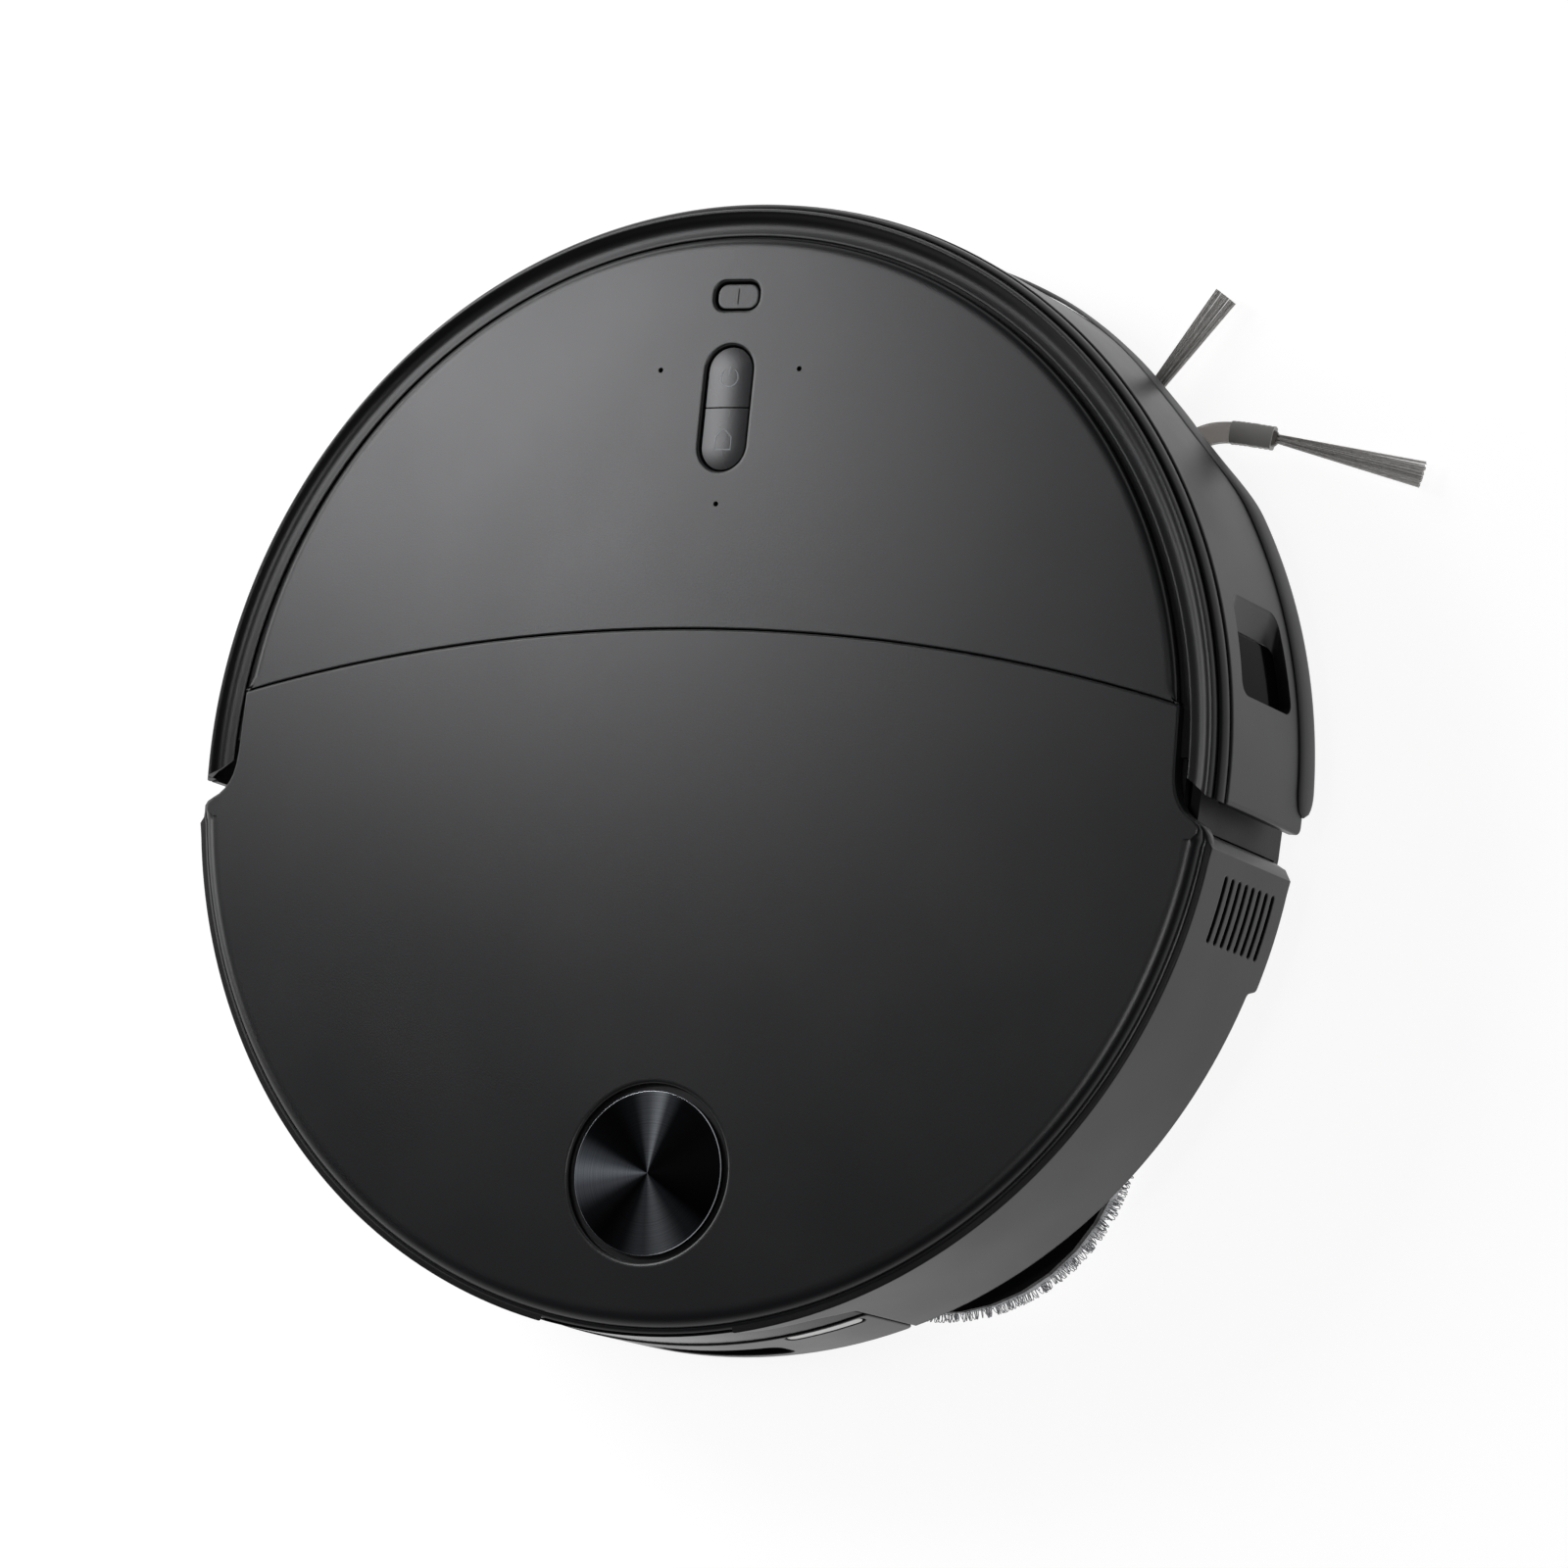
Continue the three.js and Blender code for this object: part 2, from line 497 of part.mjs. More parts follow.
function bumperShell() {
  const profile = [[SHELL_IN, BUMPER_LOW], [BODY_R, BUMPER_LOW], [BODY_R, 52], [174.7, BUMPER_SEAM - GAP],
    [SHELL_IN, BUMPER_SEAM - GAP], [SHELL_IN, BUMPER_LOW]];
  let shell = cut(turned(profile), behind(BUMPER_END_Y));
  shell = cut(shell, brushArch(-1, BUMPER_LOW + ARCH.rise));
  const { y0, y1, depthX, rampY } = SIDE_WINDOW;
  const pocket = outline([[-BODY_R - 0.8, y0], [-BODY_R - 0.8, y1], [-160, y1], [-160, rampY],
    [-depthX, rampY]]);
  shell = cut(shell, plate(pocket, SIDE_WINDOW.z0, SIDE_WINDOW.z1));
  const { x, z0, z1 } = FRONT_WINDOW;
  return cut(shell, box(-x, x, -BIG, -140, z0, z1));
}

function bumperTrim() {
  const low = BUMPER_SEAM;
  const profile = [[172.2, low], [174.4, low], [174.2, low + 2], [172.6, low + 3.9], [172.2, low + 3.9],
    [172, low + 4.8], [170.4, low + 5.6], [165.5, low + 6.4], [163.5, low + 5.9], [163.5, low + 3.2],
    [169, low + 3.2], [172.2, low]];
  const slant = outline([[162.6, 1.2], [172.4, BUMPER_END_Y], [BIG, BUMPER_END_Y], [BIG, BIG],
    [0, BIG], [0, 1.2]]);
  const ends = plate(slant, 0, TOP + 1);
  return cut(turned(profile), ends, mirrorX(ends));
}

function bumperStrip() {
  const { r0, r1 } = STRIP;
  const profile = (lift) => [[r0, lift], [r1 - 0.6, lift - 0.3], [r1, lift + 2], [r1 - 0.2, lift + 7],
    [r0, lift + 9.3], [r0, lift]];
  const room = brushArch(-1, BIG);
  const raised = turned(profile(STRIP.z + ARCH.rise)).intersect(room);
  const low = cut(turned(profile(STRIP.z)), room);
  const posts = join(...[ARCH.from, ARCH.to].map((degrees) => {
    const post = box(170, 180, -1.5, 1.5, 0, 30);
    return aboutZ(post, { x: 0, y: 0 }, -90 - degrees);
  }));
  const post = ring(r0, r1 - 0.2, STRIP.z + 2, STRIP.z + ARCH.rise + 7).intersect(posts);
  return cut(join(low, post, raised), behind(-3));
}

function sideGlass() {
  const band = ring(169.4, 171.6, SIDE_WINDOW.z0 + GAP, SIDE_WINDOW.z1 - GAP);
  return band.intersect(box(-BIG, 0, SIDE_WINDOW.rampY + 0.6, SIDE_WINDOW.y1 - GAP, 0, TOP));
}

function frontGlass() {
  const { x, z0, z1 } = FRONT_WINDOW;
  const band = ring(172.2, 174.7, z0 + GAP, z1 - GAP);
  return band.intersect(box(-x + GAP, x - GAP, -BIG, 0, 0, TOP));
}

function dockModule() {
  const across = box(-MODULE_X, MODULE_X, 0, BIG, 0, TOP);
  const body = ring(SHELL_IN, BODY_R, 13, MODULE_TOP).intersect(across);
  const pocket = ring(173.2, 180, CONTACT.z0 - GAP, MODULE_TOP + 0.5);
  const [near, far] = [CONTACT.x0 - GAP, CONTACT.x1 + GAP];
  const [left, right] = [box(near, far, 0, BIG, 0, TOP), box(-far, -near, 0, BIG, 0, TOP)];
  const port = box(-30, 14, 173.2, BIG, 18, 33);
  return cut(body, pocket.intersect(left), pocket.intersect(right), port);
}

function chargeContact(side) {
  const { x0, x1, z0, z1 } = CONTACT;
  const range = side > 0 ? box(x0, x1, 0, BIG, 0, TOP) : box(-x1, -x0, 0, BIG, 0, TOP);
  return ring(173.5, 174.8, z0, z1).intersect(range);
}

function lampWindow() {
  const across = box(-MODULE_X, MODULE_X, 0, BIG, 0, TOP);
  return ring(171, 173.6, MODULE_TOP + GAP, 59.7).intersect(across);
}

function keyBody(y0, y1, roundLow) {
  const half = PILL.half - 0.9;
  const ends = [PILL.y0 + PILL.half, PILL.y1 - PILL.half].map((y) => ({ x: 0, y }));
  const whole = stadium(...ends, half, half, SKIN_Z + 0.6, TOP - 0.5);
  return roundLow ? whole.intersect(ahead(y1)) : whole.intersect(behind(y0));
}

function mopPlate(side) {
  const x = side * MOP.x;
  const body = join(disc(x, MOP.y, MOP.plateR, -1, 1.5, 36), disc(x, MOP.y, 20, 1, 4));
  return join(body, disc(x, MOP.y, 4, 3, 26, 16));
}

function mopPad(side) {
  const x = side * MOP.x;
  const profile = [[0, -FLOOR_GAP], [MOP.r - 3, -FLOOR_GAP], [MOP.r, -6.5], [MOP.r, -3.5],
    [MOP.r - 2, -1.3], [0, -1.3]];
  const pad = geometryOf(turned(profile, 36));
  pad.translate(x, MOP.y, 0);
  return solid(pad);
}

function mopMotor(side) {
  const x = side * MOP.x;
  return cut(disc(x, MOP.y, 18, ROOF_Z + PAN_T + GAP, 32), disc(x, MOP.y, 4.3, 0, 27, 16));
}

function suctionFan() {
  const scroll = disc(-118, 76, 22, 20, 56);
  return join(scroll, box(-155, -134, 54, 70, 22, 50));
}

function waterTank() {
  const round = disc(0, 0, 165, 42, DECK_Z - GAP, 48);
  return round.intersect(box(-90, 90, BIN.y1 + 6, BIG, 0, TOP));
}

function mainBoard() {
  return roundedBox(-62, 62, -118, -70, 47, 48.8, 3);
}

function switchKey() {
  const [x, y] = [7.3, 3.85];
  return roundedBox(-x, x, SWITCH.y - y, SWITCH.y + y, SKIN_Z + 0.9, TOP - 1, 2.4);
}

function cliffSensor(x, y) {
  return roundedBox(x - 7.7, x + 7.7, y - 3.7, y + 3.7, 0.6, 7, 2);
}

// ---- chassis ------------------------------------------------------------
add('base_pan', 'inner', basePan());
add('rear_wall', 'wall', rearWall());
add('top_panel', 'topSkin', topPanel());
add('upper_deck', 'inner', deck());
add('dust_bay', 'inner', dustBay());
add('water_tank', 'clear', waterTank());
add('battery_pack', 'battery', box(-60, 60, -104, -70, 3.5, 40));
add('battery_door', 'inner', roundedBox(-DOOR.x, DOOR.x, DOOR.y0, DOOR.y1, 0.2, PAN_T, 4));
add('main_board', 'board', mainBoard());
add('suction_fan', 'inner', suctionFan());
add('brush_housing', 'inner', brushHousing());
add('brush_guard', 'rubber', brushGuard());
add('caster_socket', 'inner', casterSocket());
add('side_brush_bracket', 'inner', sideBrushBracket());
add('front_camera_module', 'glass', box(-45, 45, -160, -148, 24, 46));
add('rear_dock_module', 'wall', dockModule());
add('rear_window', 'glass', lampWindow());
for (const [place, x, y] of CLIFF) {
  add(`cliff_sensor_${place}`, 'glass', cliffSensor(x, y));
}
const SIDES = [['left', 1], ['right', -1]];
for (const [name, side] of SIDES) {
  add(`wheel_bay_${name}`, 'inner', wheelBay(side));
  add(`charge_contact_${name}`, 'metal', chargeContact(side));
}

// ---- bumper -------------------------------------------------------------
add('bumper_shell', 'wall', bumperShell());
add('bumper_trim', 'trim', bumperTrim());
add('bumper_strip', 'rubber', bumperStrip());
add('side_sensor_glass', 'glass', sideGlass());
add('front_sensor_glass', 'glass', frontGlass());

// ---- rear cover and dustbin ----------------------------------------------
add('rear_cover', 'topSkin', rearCover());
add('badge_disc', 'darkMetal', disc(0, BADGE.y, BADGE.r, TOP - 1.9, TOP - 0.2, 48));
add('dustbin', 'clear', openBox(BIN.x, BIN.y0, BIN.y1, BIN.z0, BIN.z1, WALL));
add('dustbin_lid', 'inner', roundedBox(-BIN.x, BIN.x, BIN.y0, BIN.y1, BIN.z1 + GAP, 59.6, 3));
add('dust_filter', 'pad', box(-40, 40, BIN.y1 - 10, BIN.y1 - 3, 26, 54));

// ---- keys -----------------------------------------------------------------
add('power_key', 'gloss', keyBody(0, PILL.splitY - 0.2, true));
add('home_key', 'gloss', keyBody(PILL.splitY + 0.2, 0, false));
add('main_switch_key', 'trim', switchKey());

// ---- drive wheels, brushes, caster and mops --------------------------------
for (const [name, side] of SIDES) {
  add(`wheel_arm_${name}`, 'inner', wheelArm(side));
  add(`wheel_hub_${name}`, 'wall', wheelHub(side));
  add(`tyre_${name}`, 'rubber', tyre(side));
  add(`brush_roller_${name}`, 'rubber', brushRoller(side));
  add(`mop_motor_${name}`, 'inner', mopMotor(side));
  add(`mop_plate_${name}`, 'inner', mopPlate(side));
  add(`mop_pad_${name}`, 'pad', mopPad(side));
}
add('caster_fork', 'inner', casterFork());
add('caster_wheel', 'wall', casterWheel());
add('caster_axle', 'metal', rodX(-15, 15, CASTER_AXLE.y, CASTER_AXLE.z, 1.5, 12));
add('side_brush_arm', 'inner', sideBrushArm());
add('side_brush_hub', 'smoke', sideBrushHub());
add('side_bristles_front', 'bristle', sideBristles(ARM_SPREAD));
add('side_bristles_side', 'bristle', sideBristles(0));

export default robot;
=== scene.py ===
import math
from bisect import bisect_right

import bmesh
import bpy
from mathutils import Matrix, Vector


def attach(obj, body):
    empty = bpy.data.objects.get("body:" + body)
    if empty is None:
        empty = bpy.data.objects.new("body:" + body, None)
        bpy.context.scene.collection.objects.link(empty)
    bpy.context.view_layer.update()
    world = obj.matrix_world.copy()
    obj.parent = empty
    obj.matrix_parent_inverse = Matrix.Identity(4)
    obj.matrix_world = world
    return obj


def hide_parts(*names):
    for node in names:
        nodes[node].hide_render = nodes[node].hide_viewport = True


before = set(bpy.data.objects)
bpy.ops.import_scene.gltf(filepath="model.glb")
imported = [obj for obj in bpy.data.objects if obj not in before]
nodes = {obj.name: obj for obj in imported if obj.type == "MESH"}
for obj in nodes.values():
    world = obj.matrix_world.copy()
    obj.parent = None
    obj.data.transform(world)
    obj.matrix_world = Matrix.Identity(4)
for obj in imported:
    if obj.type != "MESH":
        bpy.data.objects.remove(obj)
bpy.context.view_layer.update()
scene = bpy.context.scene
MM = 0.001

# ---- Studio ---------------------------------------------------------------
# Not part of the robot: a long lens above its rear right corner, rolled so that the front points
# up, a sheet of white paper that the robot stands on, and soft boxes over its front left side.
LENS_MM = 157.2
SENSOR_MM = 36
EYE = Vector((-0.98528, 0.31484, 1.86067))
LOOK_RIGHT = Vector((-0.88556671, -0.09933314, -0.45376704))
LOOK_DOWN = Vector((-0.01854983, 0.98365102, -0.17912724))
LOOK_FORWARD = Vector((0.46414168, -0.15021182, -0.87293122))
FLOOR_Z = -0.0101
FLOOR_HALF = 14.0


def rgb(code):
    """Linear colour of an sRGB hex code."""
    channels = [int(code[i:i + 2], 16) / 255 for i in (0, 2, 4)]
    return [c / 12.92 if c <= 0.04045 else ((c + 0.055) / 1.055) ** 2.4 for c in channels] + [1]


def add_node(tree, kind, inputs=None, **settings):
    """Adds one node with its settings, and sets or links its inputs."""
    made = tree.nodes.new(kind)
    for key, value in settings.items():
        setattr(made, key, value)
    for socket, value in (inputs or {}).items():
        if isinstance(value, bpy.types.NodeSocket):
            tree.links.new(value, made.inputs[socket])
        else:
            made.inputs[socket].default_value = value
    return made


def calc(tree, operation, first, second):
    """One step of arithmetic on two values or sockets."""
    return add_node(tree, "ShaderNodeMath", {0: first, 1: second}, operation=operation).outputs[0]


def surfaced(name, **sockets):
    """A new material with the sockets of its surface shader set."""
    material = bpy.data.materials.new(name)
    material.use_nodes = True
    surface = material.node_tree.nodes["Principled BSDF"]
    for socket, value in sockets.items():
        surface.inputs[socket.replace("_", " ")].default_value = value
    return material, material.node_tree, surface


def linked(name, data):
    """A new object in the scene."""
    made = bpy.data.objects.new(name, data)
    scene.collection.objects.link(made)
    return made


camera_data = bpy.data.cameras.new("camera")
camera_data.lens = LENS_MM
camera_data.sensor_width = SENSOR_MM
camera = linked("camera", camera_data)
turn = Matrix((LOOK_RIGHT, -LOOK_DOWN, -LOOK_FORWARD)).transposed()
camera.matrix_world = Matrix.Translation(EYE) @ turn.to_4x4()
scene.camera = camera
scene.view_settings.view_transform = "Standard"

floor_mesh = bpy.data.meshes.new("floor")
square = [(-1, -1), (1, -1), (1, 1), (-1, 1)]
floor_mesh.from_pydata([(x * FLOOR_HALF, y * FLOOR_HALF, FLOOR_Z) for x, y in square], [], [range(4)])
floor = linked("floor", floor_mesh)
# White background paper, evenly lit from behind, so that it stays white round the robot.
paper, _, _ = surfaced(
    "background_paper", Base_Color=rgb("7c7c7c"), Roughness=0.9, Emission_Color=rgb("ffffff"), Emission_Strength=0.9)
floor.data.materials.append(paper)

world = bpy.data.worlds.new("studio")
scene.world = world
world.use_nodes = True
world_tree = world.node_tree
# Pale low down, where the paper would curve up, and dark overhead.
direction = add_node(world_tree, "ShaderNodeTexCoord")
height = add_node(world_tree, "ShaderNodeSeparateXYZ", {0: direction.outputs["Generated"]})
room = add_node(world_tree, "ShaderNodeValToRGB", {0: height.outputs["Z"]})
room.color_ramp.elements[0].position = 0.12
room.color_ramp.elements[0].color = (0.92, 0.92, 0.92, 1)
room.color_ramp.elements[1].position = 0.62
room.color_ramp.elements[1].color = (0.02, 0.02, 0.021, 1)
world_tree.links.new(room.outputs[0], world_tree.nodes["Background"].inputs["Color"])


def soft_box(name, place, aim, size, watts, colour=(1, 1, 1)):
    """A rectangular soft box at a place, facing a point."""
    lamp_data = bpy.data.lights.new(name, "AREA")
    lamp_data.shape = "RECTANGLE"
    lamp_data.size, lamp_data.size_y = size
    lamp_data.energy = watts
    lamp_data.color = colour
    lamp = linked(name, lamp_data)
    towards = (Vector(aim) - Vector(place)).to_track_quat("-Z", "Y")
    lamp.matrix_world = Matrix.Translation(place) @ towards.to_matrix().to_4x4()
    lamp.visible_camera = False


soft_box("key_light", (0.5537, -0.3333, 0.8183), (0.0, -0.1, 0.07), (0.28, 0.31), 2.55, (0.975, 0.98, 1.0))
soft_box("side_light", (1.85, -0.92, 1.15), (0.0, 0.0, 0.07), (2.4, 0.75), 21)
soft_box("top_light", (-0.15, 0.1, 2.4), (0.0, 0.0, 0.07), (0.5, 0.5), 6)

# ---- Base pan and inner parts ---------------------------------------------
# Everything is screwed down into one black ABS pan, moulded plain because nobody looks at it: the
# bays, motors and housings. Only the clear tank and bin, the battery and the board differ.
PATCH_MM = 40


def noise(tree, place, size_mm, detail=2.0):
    """A noise of some grain size, by place on the object."""
    made = add_node(tree, "ShaderNodeTexNoise", {"Vector": place, "Scale": 1 / (size_mm * MM), "Detail": detail})
    return made.outputs["Fac"]


def stretched(tree, value, low, high):
    """A noise's usual span of values, stretched to run from low to high."""
    return add_node(tree, "ShaderNodeMapRange", {
        "Value": value, "From Min": 0.3, "From Max": 0.7, "To Min": low, "To Max": high}).outputs[0]


def moulding(name, colour, grain_mm, depth_mm, rough, spread, strength=1.0, **sockets):
    """A material with a fine surface grain, and roughness that wanders a little."""
    material, tree, surface = surfaced(name, Base_Color=rgb(colour), **sockets)
    place = add_node(tree, "ShaderNodeTexCoord").outputs["Object"]
    grain = noise(tree, place, grain_mm)
    wander = stretched(tree, noise(tree, place, PATCH_MM, 3.0), rough - spread, rough + spread)
    bump = add_node(tree, "ShaderNodeBump", {"Height": grain, "Distance": depth_mm * MM, "Strength": strength})
    tree.links.new(wander, surface.inputs["Roughness"])
    tree.links.new(bump.outputs[0], surface.inputs["Normal"])
    return material


def dress(material, *names):
    """Gives parts of the frame their real finish."""
    for name in names:
        for socket in nodes[name].material_slots:
            socket.material = material


# ABS straight from a coarse eroded mould: black, matt and slightly mottled.
pan_abs = moulding("eroded_black_abs", "0e0e0f", 0.7, 0.05, 0.55, 0.06, IOR=1.48, Specular_IOR_Level=0.3)
dress(pan_abs, "base_pan", "upper_deck", "dust_bay", "battery_door", "brush_housing", "caster_socket",
      "side_brush_bracket", "wheel_bay_left", "wheel_bay_right", "dustbin_lid")
# Glass-filled nylon for the parts that carry a load: greyer, with short streaks of fibre.
filled_nylon = moulding("glass_filled_nylon", "19191a", 1.1, 0.03, 0.42, 0.08, IOR=1.53)
dress(filled_nylon, "suction_fan", "wheel_arm_left", "wheel_arm_right", "caster_fork", "side_brush_arm",
      "mop_motor_left", "mop_motor_right")
# Smoked clear polycarbonate, polished: the dust and the water show through it.
clear_bin = moulding(
    "smoked_clear_polycarbonate", "5a5f63", 12, 0.02, 0.14, 0.04, 0.3, IOR=1.58, Transmission_Weight=0.6)
dress(clear_bin, "water_tank", "dustbin")
# Heat-shrunk PVC round the cells, drawn tight and slightly wrinkled.
shrink_wrap = moulding("heat_shrunk_pvc", "1d3f66", 4, 0.15, 0.3, 0.06, IOR=1.53)
dress(shrink_wrap, "battery_pack")
# Glass-epoxy board under green solder mask, with the copper's relief in the lacquer.
solder_mask = moulding("green_solder_mask", "14502f", 2.5, 0.06, 0.35, 0.08, IOR=1.5)
dress(solder_mask, "main_board")
# Pleated filter paper: white, dry and fibrous, folded every 2.6 mm.
filter_paper, paper_pleats, filter_surface = surfaced("pleated_filter_paper", Base_Color=rgb("d9d7cf"), Roughness=0.95)
pleat_place = add_node(paper_pleats, "ShaderNodeTexCoord").outputs["Object"]
pleats = add_node(paper_pleats, "ShaderNodeTexWave", {
    "Vector": pleat_place, "Scale": 0.314 / (2.6 * MM), "Distortion": 0.4}, wave_type="BANDS", bands_direction="X")
pleat_bump = add_node(paper_pleats, "ShaderNodeBump", {"Height": pleats.outputs["Fac"], "Distance": 1.0 * MM})
paper_pleats.links.new(pleat_bump.outputs[0], filter_surface.inputs["Normal"])
dress(filter_paper, "dust_filter")
# Infrared window: smoked polycarbonate, black to the eye and polished. Its anti-reflection coating
# takes away nearly all of the white floor that it would mirror, so its index is close to that of air.
infrared = moulding("smoked_polycarbonate", "040405", 30, 0.01, 0.08, 0.02, 0.2, IOR=1.06)
dress(infrared, "front_camera_module", "cliff_sensor_front_left", "cliff_sensor_front_right",
      "cliff_sensor_side_left", "cliff_sensor_side_right")

# ---- Underside screws -----------------------------------------------------
# Pan-head steel screws, zinc plated and blackened, hold the pan, the brush housing and the battery
# door. Each has a cross recess, and its head stands just proud of the plastic.
SCREW_HEAD_R, SCREW_HEAD_H, SCREW_SUNK = 2.6, 0.6, 0.1
WELD = 0.0005
SCREW_PAIRS = ((58, -101), (58, -73), (148, -52), (96, -118), (70, -140), (92, -70), (144, 20), (70, 8))
SCREW_PLACES = [(side * x, y) for x, y in SCREW_PAIRS for side in (-1, 1)] + [(0, 24), (0, -6)]


def welded(mesh, name):
    """Mesh data in metres from a bmesh made in millimetres, with its doubled points joined."""
    bmesh.ops.remove_doubles(mesh, verts=mesh.verts, dist=WELD)
    bmesh.ops.recalc_face_normals(mesh, faces=mesh.faces)
    data = bpy.data.meshes.new(name)
    mesh.to_mesh(data)
    mesh.free()
    data.transform(Matrix.Scale(MM, 4))
    return data


def mounted(name, data, body, material, stands_for):
    """Puts mesh data into the scene with its one material, on a body, in place of some CAD nodes."""
    data.materials.clear()
    data.materials.append(material)
    made = linked(name, data)
    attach(made, body)
    if stands_for:
        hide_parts(*stands_for)
    return made


def fit(mesh, name, body, slot, material, *stands_for, crease=32):
    """Finishes a mesh made in millimetres, smooth except at creases, and fits it to a body."""
    data = welded(mesh, name)
    data.shade_smooth()
    data.set_sharp_from_angle(angle=math.radians(crease))
    return mounted(name, data, body, material, stands_for)


def group_inputs(tree, decimals, whole_numbers=()):
    """Adds named number inputs to a geometry tree, and returns their identifiers by name."""
    kinds = [(name, "NodeSocketFloat") for name in decimals] + [(name, "NodeSocketInt") for name in whole_numbers]
    made = {}
    for name, kind in kinds:
        made[name] = tree.interface.new_socket(name=name, in_out="INPUT", socket_type=kind).identifier
    return made


def new_growth(name):
    """An empty geometry tree with its input and output."""
    tree = bpy.data.node_groups.new(name, "GeometryNodeTree")
    tree.interface.new_socket(name="Geometry", in_out="INPUT", socket_type="NodeSocketGeometry")
    tree.interface.new_socket(name="Geometry", in_out="OUTPUT", socket_type="NodeSocketGeometry")
    return tree, add_node(tree, "NodeGroupInput"), add_node(tree, "NodeGroupOutput")


def grown(name, seed_mesh, tree, sockets, values, body, slot, material, *stands_for):
    """Runs a geometry tree on a mesh, with a value for each of its number inputs in their order,
    keeps the result as a plain mesh and fits it to a body."""
    carrier = linked(name + "_carrier", seed_mesh)
    modifier = carrier.modifiers.new(name, "NODES")
    modifier.node_group = tree
    for identifier, value in zip(sockets.values(), values):
        modifier[identifier] = value
    evaluated = carrier.evaluated_get(bpy.context.evaluated_depsgraph_get())
    data = bpy.data.meshes.new_from_object(evaluated)
    data.name = name
    carrier.modifiers.remove(modifier)
    bpy.data.objects.remove(carrier)
    return mounted(name, data, body, material, stands_for)


def hand_back(tree, output, geometry, material):
    """Ends a geometry tree: its result leaves the tree in one material."""
    painted = add_node(tree, "GeometryNodeSetMaterial", {0: geometry, "Material": material})
    tree.links.new(painted.outputs[0], output.inputs[0])


# Blackened zinc on steel: dark, with a soft metallic sheen.
black_zinc = moulding("blackened_zinc_steel", "4a4b4d", 0.4, 0.01, 0.35, 0.05, Metallic=1.0)
screw_tree, screw_in, screw_out = new_growth("screws")
screw_sockets = group_inputs(screw_tree, ("Head radius", "Head height"))
head_node = add_node(screw_tree, "GeometryNodeMeshCylinder", {
    "Vertices": 20, "Radius": screw_in.outputs["Head radius"], "Depth": screw_in.outputs["Head height"]})
head_size = [screw_in.outputs[name] for name in ("Head radius", "Head radius", "Head height")]
cross_size = add_node(screw_tree, "ShaderNodeCombineXYZ", {
    axis: calc(screw_tree, "MULTIPLY", size, share) for axis, size, share in zip("XYZ", head_size, (1.15, 0.26, 2.0))})
slot_node = add_node(screw_tree, "GeometryNodeMeshCube", {"Size": cross_size.outputs[0]})
crossed = add_node(screw_tree, "GeometryNodeTransform", {0: slot_node.outputs[0], "Rotation": (0, 0, math.pi / 2)})
cut_head = add_node(screw_tree, "GeometryNodeMeshBoolean", {0: head_node.outputs[0]}, operation="DIFFERENCE")
recess_place = add_node(screw_tree, "ShaderNodeCombineXYZ", {"Z": calc(screw_tree, "MULTIPLY", head_size[2], -1.2)})
for recess_arm in (slot_node, crossed):
    lowered = add_node(screw_tree, "GeometryNodeTransform", {
        0: recess_arm.outputs[0], "Translation": recess_place.outputs[0]})
    screw_tree.links.new(lowered.outputs[0], cut_head.inputs[1])
placed = add_node(screw_tree, "GeometryNodeInstanceOnPoints", {
    "Points": screw_in.outputs[0], "Instance": cut_head.outputs[0]})
real = add_node(screw_tree, "GeometryNodeRealizeInstances", {0: placed.outputs[0]})
hand_back(screw_tree, screw_out, real.outputs[0], black_zinc)
screw_points = bpy.data.meshes.new("screw_points")
screw_points.from_pydata([(x * MM, y * MM, -SCREW_SUNK * MM) for x, y in SCREW_PLACES], [], [])
grown("underside_screws", screw_points, screw_tree, screw_sockets, (SCREW_HEAD_R * MM, SCREW_HEAD_H * MM),
      "chassis", "axle_steel", black_zinc)

# ---- Drive wheels and caster ----------------------------------------------
# Each drive wheel has a treaded rubber tyre on an ABS hub and swings down on a sprung arm. The
# caster is a hard wheel on a steel pin, and its fork turns freely in a socket under the nose.

# Vulcanised rubber: black, dry and dusty, with fine lines across the tread.
tread_rubber = moulding("vulcanised_rubber", "131314", 0.8, 0.08, 0.72, 0.08, IOR=1.52, Specular_IOR_Level=0.25)
dress(tread_rubber, "tyre_left", "tyre_right")
# Hard polyoxymethylene, as moulded: smooth, dark and a little waxy.
acetal = moulding("moulded_acetal", "232426", 0.6, 0.015, 0.38, 0.05, IOR=1.48)
dress(acetal, "wheel_hub_left", "wheel_hub_right", "caster_wheel")
# A ground steel pin, with its grinding marks round it.
ground_steel = moulding("ground_steel", "b9babb", 0.3, 0.006, 0.28, 0.05, Metallic=1.0)
dress(ground_steel, "caster_axle")

# ---- Floor brushes --------------------------------------------------------
# Two tapered rollers of soft polyurethane turn towards each other in a housing, so that hair works
# its way to the middle. A snap-in guard frames them.
soft_pu = moulding("cast_polyurethane", "2a2b2d", 1.2, 0.05, 0.5, 0.06, IOR=1.5)
dress(soft_pu, "brush_roller_left", "brush_roller_right")
guard_abs = moulding("glazed_guard_abs", "1a1b1c", 0.5, 0.02, 0.34, 0.05, IOR=1.5)
dress(guard_abs, "brush_guard")

